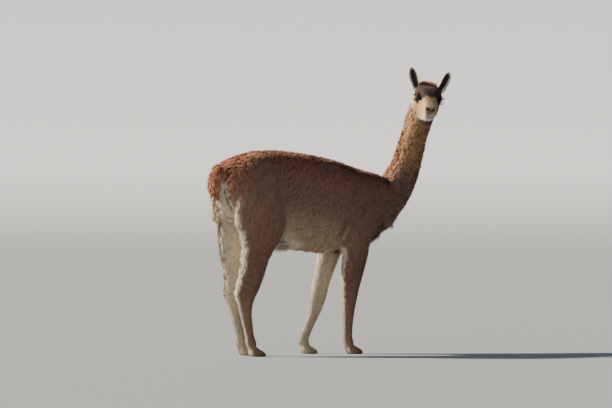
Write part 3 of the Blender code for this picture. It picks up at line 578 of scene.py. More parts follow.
muzzle = {
    "mouthBack": (0.066, -0.062),
    "mouthFront": (0.118, -0.0485),
    "mouthSag": 0.0020,
    "mouthDepth": 0.0026,
    "mouthWide": 0.0016,
    "lip": 0.0018,
    "lipPlace": (0.0052, 0.0034),  # from the mouth line, and its width
    "cleft": (0.0022, 0.0016),  # depth and width of the upper lip's cleft
    "chin": (0.104, 0.014, 0.0022),  # place, size, height
    "nostril": (0.118, 0.0135, -0.0135),
    "nostrilSize": (0.0066, 0.0024),
    "nostrilDepth": 0.0075,
    "nostrilLean": 38,
    "nostrilCurve": 18.0,
    "wing": 0.0009,
}


def mouthHeight(x):
    # on the straight line from the mouth's corner to its front
    back, front = muzzle["mouthBack"], muzzle["mouthFront"]
    return back[1] + (x - back[0]) / (front[0] - back[0]) * (front[1] - back[1])


def sculptMouth(local):
    x, y, z = local.T
    back, front = muzzle["mouthBack"], muzzle["mouthFront"]
    along = np.clip((x - back[0]) / (front[0] - back[0]), 0, 1)
    off = z - (mouthHeight(x) - muzzle["mouthSag"] * np.sin(np.pi * along))
    onMouth = smooth(back[0] - 0.004, back[0] + 0.008, x)
    move = -muzzle["mouthDepth"] * bump(off, muzzle["mouthWide"]) * onMouth
    lipPlace, lipWide = muzzle["lipPlace"]
    onLip = smooth(back[0] + 0.004, front[0] - 0.02, x)
    move += muzzle["lip"] * bump(np.abs(off) - lipPlace, lipWide) * onLip
    # cleft of the upper lip, and the chin
    depth, wide = muzzle["cleft"]
    upperLip = (("x", 0.108, 0.116), ("z", front[1] - 0.001, front[1] + 0.004), ("z", -0.006, -0.014))
    move -= depth * bump(y, wide) * within(local, *upperLip)
    ahead, size, height = muzzle["chin"]
    move += height * bump(np.hypot(x - ahead, y), size) * smooth(-0.060, -0.070, z)
    return move


def sculptNostril(local, side):
    # a slanted comma with a raised wing
    place = mirrored(muzzle["nostril"], side)
    ny = (local[:, 1] - place[1]) * side
    nz = local[:, 2] - place[2]
    lean = math.radians(muzzle["nostrilLean"])
    along = ny * math.cos(lean) + nz * math.sin(lean)
    across = -ny * math.sin(lean) + nz * math.cos(lean) + muzzle["nostrilCurve"] * along**2
    measure = np.hypot(along / muzzle["nostrilSize"][0], across / muzzle["nostrilSize"][1])
    onFront = smooth(0.094, 0.108, local[:, 0])
    pit = muzzle["nostrilDepth"] * np.exp(-measure**4) * onFront
    wing = muzzle["wing"] * bump(measure - 2.0, 0.55) * onFront
    local[:, 0] += wing - pit
    local[:, 1] += side * 0.6 * (wing - 0.4 * pit)


def sculptLids(local, side):
    # the opening is drawn back behind the eye, its rim stands a lid's thickness proud
    measure, reach, u, v = eyeMeasure(local, side)
    eyeCentre = eyeAxes(side)[0]
    way = (local - eyeCentre) / np.maximum(reach, 1e-6)[:, None]
    inside = smooth(1.06, 0.94, measure)
    rim = bump(measure - eye["lidRim"][0], eye["lidRim"][1])
    fold = bump(measure - eye["lidFold"][0], eye["lidFold"][1]) * smooth(0.0, 0.3, v)
    lidReach = eye["radius"] + eye["lid"] * (1 + 0.5 * smooth(0.0, 0.5, v))
    proud = np.maximum(lidReach, 0.72 * reach + 0.28 * lidReach)
    target = np.where(rim > 0.05, reach + (proud - reach) * rim, reach)
    target = target - eye["foldDepth"] * fold
    target = target * (1 - inside) + (eye["radius"] - eye["sunk"]) * inside
    near = smooth(0.034, 0.027, reach) * (measure < 2.4)
    return eyeCentre + way * (reach + (target - reach) * near)[:, None]


def sculptHead(mesh):
    local = toHead(coordinates(mesh))
    out = vertexNormals(mesh) @ headTurn
    move = np.zeros(len(local))
    for side in (1, -1):
        eyePlace = mirrored(eye["place"], side)
        for forwards, outwards, up, size, height in facePads:
            away = local - eyePlace - (forwards, side * outwards, up)
            move += height * np.exp(-(away**2).sum(axis=1) / size**2)
    local = local + out * (move + sculptMouth(local))[:, None]
    for side in (1, -1):
        sculptNostril(local, side)
        local = sculptLids(local, side)
    setCoordinates(mesh, fromHead(local))


ears = {
    "place": (-0.052, 0.0530, 0.025),
    "back": 33.0,
    "out": {"Right": 20.0, "Left": 23.0},
    "wall": 0.0034,
    "faces": (0.90, 0.35, 0.0),  # forwards and outwards
    "forward": 0.45,  # of the depth, from the axis to the rim
    "rows": (  # along, half width, depth
        (-0.014, 0.0130, 0.0175),
        (0.004, 0.0160, 0.0185),
        (0.022, 0.0200, 0.0180),
        (0.042, 0.0228, 0.0165),
        (0.062, 0.0222, 0.0145),
        (0.077, 0.0184, 0.0115),
        (0.089, 0.0115, 0.0080),
        (0.0945, 0.0045, 0.0045),
    ),
    "hair": 0.0066,
    "rise": 0.0005,
    "wide": 0.0019,
}


def earAxes(name):
    side = 1 if name == "Left" else -1
    back = math.radians(ears["back"])
    out = math.radians(ears["out"][name])
    axis = np.array((-math.sin(back) * math.cos(out), side * math.sin(out), math.cos(back) * math.cos(out)))
    opening = mirrored(ears["faces"], side)
    opening = opening - axis * np.dot(opening, axis)
    opening = opening / np.linalg.norm(opening)
    place = fromHead(mirrored(ears["place"], side))
    return place, headTurn @ axis, headTurn @ opening, headTurn @ np.cross(axis, opening)


def makeEar(name):
    place, axis, opening, side = earAxes(name)
    rows = curveThrough(ears["rows"], 4)
    rings = []
    outer = np.linspace(0, np.pi, 15)
    inner = outer[-2:0:-1]
    for along, halfWidth, depth in rows:
        centre = place + axis * along + opening * depth * ears["forward"]
        wall = min(ears["wall"], depth * 0.5)
        shell = centre + np.outer(np.cos(outer) * halfWidth, side) - np.outer(np.sin(outer) * depth, opening)
        cup = np.outer(np.cos(inner) * (halfWidth - 0.6 * wall), side)
        cup = centre + cup - np.outer(np.sin(inner) * (depth - wall) * 0.96, opening)
        rings.append(np.vstack((shell, cup)))
    path = place + np.outer(rows[:, 0], axis)
    addForm("ear" + name, path, rows[:, 1] * 0.8, axis, ears)
    return loft("ear" + name, rings)


def nearest(points, path):
    # index of the nearest path point and its distance
    best = np.full(len(points), 1e9)
    index = np.zeros(len(points), dtype=int)
    for i, place in enumerate(path):
        distance = ((points - place) ** 2).sum(axis=1)
        closer = distance < best
        best[closer] = distance[closer]
        index[closer] = i
    return index, np.sqrt(best)


joining = {"sharpness": 7.0, "trunkEnd": 0.04, "headEnd": 0.03, "headReach": 0.94}


def readForms(points):
    # which forms a point belongs to, with their sizes and lie mixed where forms meet
    closeness = []
    stations = []
    trunkRows = np.array(trunk["rows"])[::-1]
    headRows = np.array(head["rows"])
    for form in forms:
        index, distance = nearest(points, form["path"])
        measure = distance / form["radius"][index]
        if form["name"] == "trunk":
            y = points[:, 1]
            top, bottom, half, widest = rowValues(trunkRows, y, (1, 2, 3, 4))
            up = points[:, 2] - widest
            high = np.where(up > 0, top - widest, widest - bottom)
            beyond = np.maximum(y - trunkRows[-1, 0], trunkRows[0, 0] - y)
            measure = np.sqrt((points[:, 0] / half) ** 2 + (up / high) ** 2)
            measure += np.clip(beyond, 0, 1) / joining["trunkEnd"]
        if form["name"] == "head":
            local = toHead(points)
            middle, half, rise, low = rowValues(headRows, local[:, 0], (1, 2, 3, 4))
            up = local[:, 2] - middle
            beyond = np.maximum(local[:, 0] - headRows[-1, 0], headRows[0, 0] - local[:, 0])
            high = np.where(up > 0, rise, low)
            measure = np.sqrt((local[:, 1] / half) ** 2 + (up / high) ** 2) * joining["headReach"]
            measure += np.clip(beyond, 0, 1) / joining["headEnd"]
        closeness.append(measure)
        stations.append(index)
    closeness = np.array(closeness)
    weight = np.exp(-joining["sharpness"] * (closeness - closeness.min(axis=0)))
    weight /= weight.sum(axis=0)
    mix = {"lie": np.zeros_like(points)}
    for key in ("hair", "rise", "wide"):
        mix[key] = sum(weight[k] * form[key][stations[k]] for k, form in enumerate(forms))
    for k, form in enumerate(forms):
        mix["lie"] += weight[k][:, None] * form["lie"][stations[k]]
    mix["share"] = {form["name"]: weight[k] for k, form in enumerate(forms)}
    mix["station"] = {form["name"]: stations[k] for k, form in enumerate(forms)}
    mix["owner"] = closeness.argmin(axis=0)
    return mix


def softNoise(points, scale, seed):
    chance = np.random.default_rng(seed)
    total = np.zeros(len(points))
    for _ in range(7):
        way = chance.normal(size=3)
        way *= 2 * np.pi / (scale * np.linalg.norm(way) * chance.uniform(0.7, 1.5))
        total += np.sin(points @ way + chance.uniform(0, 6.28))
    return total / 2.65


def cellNoise(cell, salt):
    # a steady pseudo-random number from 0 to 1 for each whole-number cell
    mixed = cell[:, 0] * 73856093 ^ cell[:, 1] * 19349663 ^ cell[:, 2] * 83492791 ^ salt * 2654435
    mixed = (mixed ^ (mixed >> 13)) * 1274126177
    return ((mixed ^ (mixed >> 16)) & 0xFFFFFF) / float(0x1000000)


def clumps(points, size, seed):
    # offset to the nearest clump's centre, in clump sizes, and a number for each clump
    scaled = points / size[:, None]
    base = np.floor(scaled).astype(np.int64)
    best = np.full(len(points), 1e9)
    offset = np.zeros_like(points)
    tone = np.zeros(len(points))
    for dx in (-1, 0, 1):
        for dy in (-1, 0, 1):
            for dz in (-1, 0, 1):
                cell = base + (dx, dy, dz)
                jitter = np.stack([cellNoise(cell, seed + k) for k in (1, 2, 3)], axis=1)
                away = cell + jitter - scaled
                distance = (away**2).sum(axis=1)
                closer = distance < best
                best[closer] = distance[closer]
                offset[closer] = away[closer]
                tone[closer] = cellNoise(cell[closer], seed + 9)
    return offset, tone


def linear(*rgb):
    c = np.array(rgb) / 255.0
    return np.where(c <= 0.04045, c / 12.92, ((c + 0.055) / 1.055) ** 2.4)


# half width of the pale part behind the thighs at each height
rear = {"z": (0.56, 0.63, 0.66, 0.70, 0.765, 0.80), "reach": (0.140, 0.113, 0.080, 0.064, 0.060, 0.050)}
# the fold behind the elbow
elbow = {
    "z": (0.47, 0.577, 0.64),
    "y": (-0.204, -0.226, -0.252),
    "wide": 0.010,
    "depth": 0.005,
    "shade": 0.50,
}
coatColours = {
    "back": linear(158, 104, 78),
    # flank: greyed brown, partly its own colour, partly painted shade for the side that faces away from the
    # key light
    "flank": linear(152, 115, 97),
    "lowFlank": linear(190, 162, 134),
    "belly": linear(214, 190, 158),
    "rump": linear(164, 104, 72),
    "neck": linear(196, 150, 106),
    "nape": linear(160, 100, 64),
    "throat": linear(184, 138, 100),
    "cream": linear(216, 200, 172),
    "legOuter": linear(142, 106, 88),
    "legFront": linear(122, 86, 70),
    "shin": linear(156, 122, 98),
    "forehead": linear(58, 45, 38),
    "cheek": linear(180, 140, 94),
    "muzzle": linear(190, 160, 124),
    "jaw": linear(232, 222, 204),
    "dark": linear(34, 26, 24),
    "earBack": linear(140, 104, 78),
    "earInside": linear(56, 47, 43),
    "nose": linear(92, 74, 64),
    "crown": linear(158, 102, 66),
}
# where each mark lies, as within() takes it
marks = {
    "midBelly": (("y", -0.36, -0.22), ("y", 0.22, 0.06)),
    "creamBelly": (("y", -0.05, 0.00), ("y", 0.2, 0.12)),
    "breast": (("y", -0.40, -0.50), ("z", 0.70, 0.58), ("absX", 0.07, 0.03)),
    "groin": (("z", 0.57, 0.53), ("y", -0.06, -0.02), ("y", 0.15, 0.11), ("absX", 0.080, 0.055)),
    # the crease beside the tail, where a dark line is painted as shade
    "cleft": (("z", 0.65, 0.67), ("z", 0.77, 0.75)),
}


def mixColour(colour, name, amount):
    amount = np.clip(amount, 0, 1)[:, None]
    return colour * (1 - amount) + coatColours[name] * amount


def blend(colour, other, amount):
    return colour + (other - colour) * amount[:, None]


def plain(name, points):
    return np.tile(coatColours[name], (len(points), 1))


def elbowFold(points, widening):
    away = (points[:, 1] - np.interp(points[:, 2], elbow["z"], elbow["y"])) / (elbow["wide"] * widening)
    return bump(away, 1.0) * within(points, ("z", 0.655, 0.61), ("z", 0.45, 0.49), ("absX", 0.05, 0.08))


def trunkColour(points, normals, height):
    x, y, z = points.T
    colour = mixColour(plain("flank", points), "back", smooth(0.55, 0.95, height))
    # rust-coloured rump on top and on the surfaces that face back, towards the key light: partly the coat's
    # own colour, partly painted light
    behind = smooth(0.25, 0.75, normals[:, 1]) * smooth(0.26, 0.36, y)
    behind *= 0.35 + 0.65 * smooth(0.085, 0.050, np.abs(x))
    onTop = smooth(0.00, 0.34, y) * smooth(0.55, 1.0, height)
    colour = mixColour(colour, "rump", np.maximum(onTop, behind * smooth(0.1, 0.4, height)))
    # paler low down, most of all between the legs
    midBelly = within(points, *marks["midBelly"])
    colour = mixColour(colour, "lowFlank", smooth(0.50, 0.12, height) * (0.35 + 0.65 * midBelly))
    colour = mixColour(colour, "belly", smooth(0.14, -0.02, height) * smooth(-0.30, -0.10, y))
    colour = mixColour(colour, "cream", smooth(0.18, 0.04, height) * within(points, *marks["creamBelly"]))
    # shade in the fold behind the elbow
    shade = elbow["shade"] * elbowFold(points, 1.0) * smooth(0.3, 0.7, np.abs(normals[:, 0]))
    colour = mixColour(colour, "dark", shade)
    # paler breast fringe: partly the pale bib, partly painted light that lifts the hanging fringe out of its
    # shade
    breast = within(points, *marks["breast"])
    colour = mixColour(colour, "lowFlank", 0.8 * breast)
    return mixColour(colour, "cream", 0.6 * breast * smooth(0.66, 0.58, z))


def neckColour(points, normals, station, fine):
    z = points[:, 2]
    facing = (normals * neckFront(station)).sum(axis=1) + 0.12 * fine
    colour = mixColour(plain("neck", points), "flank", smooth(0.92, 0.76, z))
    colour = mixColour(colour, "nape", smooth(-0.45, -0.90, facing))
    return mixColour(colour, "throat", smooth(0.4, 0.9, facing) * smooth(0.8, 0.95, z))


def legColour(name, points, normals, fine):
    # brown outside and in front, pale behind and inside
    z = points[:, 2]
    ny = normals[:, 1]
    outer = normals[:, 0] * (-1.0 if name.endswith("Right") else 1.0)
    fore = name.startswith("fore")
    # how far round the back the pale part reaches
    reachRound = 0.60 if fore else 0.82 * smooth(0.50, 0.64, z) - 0.22
    if name == "hindLeft":
        reachRound = reachRound + 0.36 * smooth(0.68, 0.58, z)
    pale = smooth(0.12, -0.22, outer - reachRound * smooth(0.2, 0.9, ny) + 0.10 * fine)
    colour = plain("legOuter", points)
    if fore:
        colour = mixColour(colour, "legFront", smooth(0.0, -0.6, ny) * smooth(0.62, 0.45, z))
    else:
        colour = mixColour(colour, "flank", 0.8 * smooth(0.45, 0.65, z))
    colour = mixColour(colour, "shin", 0.8 * smooth(0.36, 0.14, z) * smooth(-0.9, 0.2, ny))
    colour = mixColour(colour, "cream", pale * smooth(0.78, 0.68, z))
    return mixColour(colour, "shin", 0.35 * smooth(0.34, 0.16, z))


def rearMarkings(colour, points, normals, fine):
    # white behind the thighs, and painted shade in the folds beside the tail
    x, y, z = points.T
    ny = normals[:, 1]
    reachOut = np.interp(z, rear["z"], rear["reach"]) + 0.004 * fine
    reachOut = reachOut + 0.030 * smooth(0.0, 0.02, x) * smooth(0.72, 0.66, z)
    onRear = np.maximum(smooth(0.60, 0.80, ny), smooth(0.065, 0.035, np.abs(x)) * smooth(0.10, 0.40, ny))
    onRear *= smooth(0.20, 0.28, y)
    pale = onRear * smooth(0.82, 0.77, z) * smooth(1.15, 0.9, np.abs(x) / reachOut)
    colour = mixColour(colour, "cream", pale)
    # painted shade: a dark line down the crease between tail and thigh, and a dark patch beside the tail's
    # root
    cleft = bump(np.abs(x) - 0.046, 0.0045) * within(points, *marks["cleft"])
    tailRootShade = bump(np.abs(x) - 0.060, 0.018) * bump(z - 0.820, 0.038)
    return mixColour(colour, "dark", onRear * 0.85 * cleft + smooth(0.30, 0.35, y) * 0.90 * tailRootShade)


def tailColour(points, normals):
    pale = smooth(-0.2, -0.7, normals[:, 1]) + 0.5 * smooth(0.72, 0.69, points[:, 2])
    return mixColour(plain("rump", points), "cream", pale)


def earColour(name, points, normals):
    # dark inside, with a white rim
    place, axis, opening, side = earAxes(name)
    along = (points - place) @ axis
    width = rowValues(np.array(ears["rows"]), along, (1,))[0]
    across = np.abs((points - place) @ side) / np.maximum(width, 1e-4)
    colour = mixColour(plain("earBack", points), "earInside", smooth(0.1, 0.6, normals @ opening))
    return mixColour(colour, "jaw", smooth(0.60, 0.82, across) + smooth(0.083, 0.094, along))


def markings(points, normals, mix):
    # the coat's colours by place, the same for skin and tufts
    share = mix["share"]
    wave = softNoise(points, 0.09, 5)
    fine = softNoise(points, 0.025, 6)
    top, bottom = rowValues(np.array(trunk["rows"])[::-1], points[:, 1], (1, 2))
    height = (points[:, 2] - bottom) / (top - bottom) + 0.035 * wave
    colour = trunkColour(points, normals, height)
    colour = blend(colour, neckColour(points, normals, mix["station"], fine), smooth(0.2, 0.8, share["neck"]))
    for name in legs:
        colour = blend(colour, legColour(name, points, normals, fine), smooth(0.15, 0.7, share[name]))
    # the white tuft between belly and thighs, in the palest white: partly its own colour, partly painted
    # light where it sits in the body's shade
    colour = mixColour(colour, "jaw", within(points, *marks["groin"]))
    colour = rearMarkings(colour, points, normals, fine)
    colour = blend(colour, tailColour(points, normals), smooth(0.3, 0.8, share["tail"]))
    colour = blend(colour, headColour(points, normals, fine), smooth(0.25, 0.75, share["head"]))
    colour = mixColour(colour, "jaw", 0.95 * cheekLine(points, fine) * smooth(0.02, 0.12, share["head"]))
    for name in ("Left", "Right"):
        colour = blend(colour, earColour(name, points, normals), smooth(0.35, 0.75, share["ear" + name]))
    return colour * (1 + 0.05 * fine + 0.04 * wave)[:, None]


# the white line down the cheek's rear edge, from the ear to the jaw
cheekEdge = {
    "z": (-0.102, -0.0915, -0.079, -0.066, -0.050, -0.020, 0.000, 0.0125, 0.026),
    "x": (0.025, 0.013, -0.002, -0.017, -0.027, -0.028, -0.034, -0.044, -0.052),
    "wide": 0.0100,
}


def cheekLine(points, fine):
    local = toHead(points)
    away = np.abs(local[:, 0] - np.interp(local[:, 2], cheekEdge["z"], cheekEdge["x"]) - 0.0015 * fine)
    onCheek = within(local, ("z", 0.034, 0.026), ("z", -0.108, -0.100), ("absY", 0.020, 0.030))
    return smooth(cheekEdge["wide"], 0.5 * cheekEdge["wide"], away) * onCheek


# in the head's own axes, or forwards and up from the eye
faceMarks = {
    "crownLine": (-0.040, 0.0055),  # x and width
    "crown": (("x", -0.045, -0.052), ("z", 0.0, 0.02), ("absY", 0.050, 0.040)),
    "noseSkin": ((0.122, 0.0, -0.020), (0.014, 0.011, 0.012)),  # place and size
    "nostril": (0.012, 0.0072, 0.0062),
    "mouth": 0.0032,
    "eyePatch": {"place": (0.012, 0.005), "slope": 0.17, "long": 0.0330, "above": 0.0140, "below": 0.0150},
    "tear": {"up": (-0.036, -0.028, -0.010), "half": (0.0005, 0.0050, 0.0130), "ahead": 0.004, "lean": 0.15},
}


def spot(local, place, size):
    return np.exp(-(((local - place) / size) ** 2).sum(axis=1))


def eyeMarks(local, side, fine):
    # the dark patch round the eye, and the tear mark below it
    eyeCentre, outward, along, upward = eyeAxes(side)
    offset = local - eyeCentre
    u, v = offset @ along, offset @ upward
    patch = faceMarks["eyePatch"]
    ahead = u - patch["place"][0]
    up = v - patch["place"][1] - patch["slope"] * ahead
    measure = np.hypot(ahead / patch["long"], up / np.where(up > 0, patch["above"], patch["below"]))
    measure += 0.10 * fine
    tear = faceMarks["tear"]
    beside = np.abs(u - tear["ahead"] + tear["lean"] * (v + 0.012))
    streak = smooth(1.2, 0.6, beside / np.interp(v, tear["up"], tear["half"])) * smooth(0.0, -0.006, v)
    near = smooth(-0.020, -0.008, offset @ outward)
    return np.clip(smooth(1.15, 0.80, measure) + 0.95 * streak, 0, 0.97) * near


def headColour(points, normals, fine):
    local = toHead(points)
    x, y, z = local.T
    upwards = (normals @ headTurn)[:, 2]
    low = -z + 0.004 * fine
    colour = mixColour(plain("cheek", points), "muzzle", smooth(0.045, 0.100, x))
    # dark cap from the crown down to the brows, and a thin stripe down the bridge
    ragged = softNoise(local * (0.35, 1.0, 0.6), 0.0065, 17)
    cap = smooth(-0.006, 0.010, z - 0.16 * x + 0.004 * fine + 0.002 * ragged)
    cap *= smooth(0.060, 0.044, x + 0.003 * fine + 0.004 * ragged)
    bridge = smooth(0.4, 0.9, upwards) * smooth(0.090, 0.040, x) * smooth(0.020, 0.006, np.abs(y))
    colour = mixColour(colour, "forehead", np.maximum(cap, 0.30 * bridge))
    colour = mixColour(colour, "crown", 0.22 * smooth(0.3, 1.2, ragged) * cap * smooth(0.030, -0.010, x))
    # white under the jaw and along the cheek's rear edge, tan behind that
    middle, drop = rowValues(np.array(head["rows"]), x, (1, 4))
    jaw = smooth(0.026, 0.012, drop - middle - low) * smooth(-0.075, -0.045, x)
    jaw = np.maximum(jaw, smooth(0.092, 0.106, x) * smooth(0.036, 0.048, low))
    edgeX = np.interp(z, cheekEdge["z"], cheekEdge["x"])
    colour = mixColour(colour, "neck", smooth(edgeX - 0.004, edgeX - 0.014, x) * smooth(0.024, 0.012, z))
    colour = mixColour(colour, "jaw", 0.9 * jaw * smooth(edgeX - 0.012, edgeX - 0.004, x))
    # a dark line across the crown, with longer reddish hair behind it
    lineX, lineWide = faceMarks["crownLine"]
    colour = mixColour(colour, "dark", 0.75 * bump(x - lineX, lineWide) * smooth(0.020, 0.030, z))
    colour = mixColour(colour, "crown", within(local, *faceMarks["crown"]))
    colour = mixColour(colour, "nose", 0.85 * spot(local, *faceMarks["noseSkin"]))
    for side in (1, -1):
        colour = mixColour(colour, "dark", eyeMarks(local, side, fine))
        # the nostril openings painted near black: partly dark skin, partly painted shade inside them
        hole = spot(local, mirrored(muzzle["nostril"], side), faceMarks["nostril"])
        colour = mixColour(colour, "dark", 1.3 * hole)
    # a dark line along the mouth: painted shade in the crease between the lips
    corner = muzzle["mouthBack"][0]
    mouth = bump(z - mouthHeight(x), faceMarks["mouth"]) * smooth(corner, corner + 0.02, x)
    return mixColour(colour, "dark", 0.75 * mouth)


skinFit = {"voxel": 0.0066, "softening": 7, "underCoat": 1.35, "underFace": 0.0010, "shade": 0.80}


def makeSkin():
    pieces = [makeTrunk(), makeNeck()]
    for name in legs:
        pieces += makeLeg(name)
    pieces.append(makeTail())
    body = fuse("skin", pieces, skinFit["voxel"], skinFit["softening"])
    headSkin = makeHead()
    earPieces = [makeEar(name) for name in ("Left", "Right")]
    # the body's skin lies under its coat by the coat's depth
    points = coordinates(body.data)
    mix = readForms(points)
    foot = smooth(0.02, 0.07, points[:, 2])
    under = mix["rise"] * skinFit["underCoat"] * foot + elbow["depth"] * elbowFold(points, 1.6)
    points = points - vertexNormals(body.data) * under[:, None]
    points[:, 2] = np.maximum(points[:, 2], 0.0)
    setCoordinates(body.data, points)
    points = coordinates(headSkin.data)
    setCoordinates(headSkin.data, points - vertexNormals(headSkin.data) * skinFit["underFace"])
    for piece in earPieces:
        unite(headSkin, piece)
    unite(body, headSkin)
    return body


def setColours(mesh, colours):
    layer = mesh.color_attributes.new("coatColour", "FLOAT_COLOR", "POINT")
    flat = np.ones((len(mesh.vertices), 4))
    flat[:, :3] = np.clip(colours, 0, 1)
    layer.data.foreach_set("color", flat.ravel())


def shadeSmooth(mesh):
    mesh.polygons.foreach_set("use_smooth", np.ones(len(mesh.polygons), dtype=bool))


def colouredMaterial(name, grainScale, grainDetail, tones):
    # the mesh's own colours, made lighter and darker by a fine noise
    made = bpy.data.materials.new(name)
    made.use_nodes = True
    nodes, links = made.node_tree.nodes, made.node_tree.links
    colour = nodes.new("ShaderNodeAttribute")
    colour.attribute_name = "coatColour"
    place = nodes.new("ShaderNodeTexCoord")
    grain = nodes.new("ShaderNodeTexNoise")
    grain.inputs["Scale"].default_value = grainScale
    grain.inputs["Detail"].default_value = grainDetail
    tone = nodes.new("ShaderNodeMapRange")
    tone.inputs["To Min"].default_value = tones[0]
    tone.inputs["To Max"].default_value = tones[1]
    vary = nodes.new("ShaderNodeVectorMath")
    vary.operation = "SCALE"
    links.new(place.outputs["Object"], grain.inputs["Vector"])
    links.new(grain.outputs["Fac"], tone.inputs["Value"])
    links.new(colour.outputs["Color"], vary.inputs[0])
    links.new(tone.outputs["Result"], vary.inputs["Scale"])
    links.new(vary.outputs["Vector"], nodes["Principled BSDF"].inputs["Base Color"])
    return made, grain


finishes = {
    "shortCoat": {"roughness": 0.90, "sheen": 0.06, "grain": 900.0, "bump": 0.5},
    "bodyCoat": {"roughness": 0.88, "sheen": 0.28, "grain": 420.0, "bump": 0.0},
    "faceCoat": {"roughness": 0.90, "sheen": 0.04, "grain": 420.0, "bump": 0.0},
}


def coatMaterial(name):
    finish = finishes[name]
    made, grain = colouredMaterial(name, finish["grain"], 3.0, (0.80, 1.16))
    nodes, links = made.node_tree.nodes, made.node_tree.links
    shader = nodes["Principled BSDF"]
    shader.inputs["Roughness"].default_value = finish["roughness"]
    shader.inputs["Specular IOR Level"].default_value = 0.25
    shader.inputs["Sheen Weight"].default_value = finish["sheen"]
    shader.inputs["Sheen Roughness"].default_value = 0.45
    shader.inputs["Sheen Tint"].default_value = (1.0, 0.86, 0.72, 1.0)
    if finish["bump"]:
        relief = nodes.new("ShaderNodeBump")
        relief.inputs["Strength"].default_value = finish["bump"]
        relief.inputs["Distance"].default_value = 0.002
        links.new(grain.outputs["Fac"], relief.inputs["Height"])
        links.new(relief.outputs["Normal"], shader.inputs["Normal"])
    return made


def unwrapCopy(skin):
    # a thinner copy of the skin, unwrapped, that the tufts are rooted on
    copy = link("rootSurface", skin.data.copy())
    thin = copy.modifiers.new("thin", "DECIMATE")
    thin.ratio = 0.16
    thin.use_collapse_triangulate = True
    applyModifiers(copy)
    bpy.context.view_layer.objects.active = copy
    copy.select_set(True)
    while copy.data.uv_layers:
        copy.data.uv_layers.remove(copy.data.uv_layers[0])
    copy.data.uv_layers.new(name="OFBake")
    bpy.ops.object.mode_set(mode="EDIT")
    bpy.ops.mesh.select_all(action="SELECT")
    bpy.ops.uv.smart_project(angle_limit=math.radians(66), island_margin=0.003)
    bpy.ops.object.mode_set(mode="OBJECT")
    copy.select_set(False)
    return copy


coat = {
    "seed": 21,
    "tufts": 430000,
    "patch": 0.003,  # size of a tuft's patch on the unwrap
    "pieceTriangles": 190000,
    "segments": {"neck": 3, "tail": 3},
    "otherSegments": 2,
    "colourAt": 0.45,  # of a tuft's length, where its colour is taken
    "otherClump": 0.011,
    "faceClump": 0.006,
    "clumpSteps": (0.0085, 0.0108, 0.0135),
    "clumpSizes": (0.006, 0.0098, 0.011, 0.014),
    "dense": {"wide": 0.0036, "widePower": 1.1, "hair": 0.025, "leastHair": 0.006, "hairPower": 0.40},
    "twist": {"trunk": 0.75, "neck": 1.3, "stray": 0.16},
    "roll": 0.7,
    "gap": {"pull": 0.36, "neck": 0.42},  # how much painted shade darkens the rims between clumps
    "crimp": {"tone": 0.13, "rise": 0.35},
}


def rootPlaces(surface, chance):
    # places spread over the surface, with more where the coat is short
    mesh = surface.data
    mesh.calc_loop_triangles()
    count = len(mesh.loop_triangles)
    corners = np.empty(count * 3, dtype=np.int32)
    loops = np.empty(count * 3, dtype=np.int32)
    mesh.loop_triangles.foreach_get("vertices", corners)
    mesh.loop_triangles.foreach_get("loops", loops)
    corners = corners.reshape(-1, 3)
    loops = loops.reshape(-1, 3)
    points = coordinates(mesh)
    normals = vertexNormals(mesh)
    flat = np.empty(len(mesh.loops) * 2)
    mesh.uv_layers["OFBake"].data.foreach_get("uv", flat)
    flat = flat.reshape(-1, 2)
    a, b, c = (points[corners[:, k]] for k in range(3))
    area = np.linalg.norm(np.cross(b - a, c - a), axis=1) / 2
    middle = (a + b + c) / 3
    mix = readForms(middle)
    dense = coat["dense"]
    hair = np.maximum(mix["hair"], dense["leastHair"])
    density = (dense["wide"] / mix["wide"]) ** dense["widePower"]
    density *= (dense["hair"] / hair) ** dense["hairPower"]
    weight = area * density
    pick = chance.choice(count, size=coat["tufts"], p=weight / weight.sum())
    r1 = np.sqrt(chance.random(len(pick)))[:, None]
    r2 = chance.random(len(pick))[:, None]
    shares = np.hstack((1 - r1, r1 * (1 - r2), r1 * r2))
    place = sum(points[corners[pick, k]] * shares[:, k:k + 1] for k in range(3))
    normal = unit(sum(normals[corners[pick, k]] * shares[:, k:k + 1] for k in range(3)))
    uv = sum(flat[loops[pick, k]] * shares[:, k:k + 1] for k in range(3))
    return place, normal, uv


# how strongly the coat turns down at the trunk's ends and sides, backwards behind the thighs, and wavers
comb = {"rear": 1.3, "front": 1.2, "sides": 0.5, "thighs": 0.8, "sway": 0.22}


def combDirection(place, normal, mix):
    # the way the coat lies, before clumps turn it
    lie = mix["lie"].copy()
    y = place[:, 1]
    share = mix["share"]
    lie[:, 2] -= comb["rear"] * smooth(0.22, 0.40, y) * share["trunk"]
    lie[:, 2] -= comb["front"] * smooth(-0.42, -0.58, y) * share["trunk"]
    lie[:, 2] -= comb["sides"] * smooth(0.3, 0.9, np.abs(normal[:, 0])) * share["trunk"]
    hind = share["hindRight"] + share["hindLeft"]
    lie[:, 1] += comb["thighs"] * hind * smooth(0.2, 0.8, normal[:, 1])
    side = np.cross(normal, lie)
    lie = lie + side * (comb["sway"] * softNoise(place, 0.11, 31))[:, None]
    return unit(lie - normal * (lie * normal).sum(axis=1)[:, None])


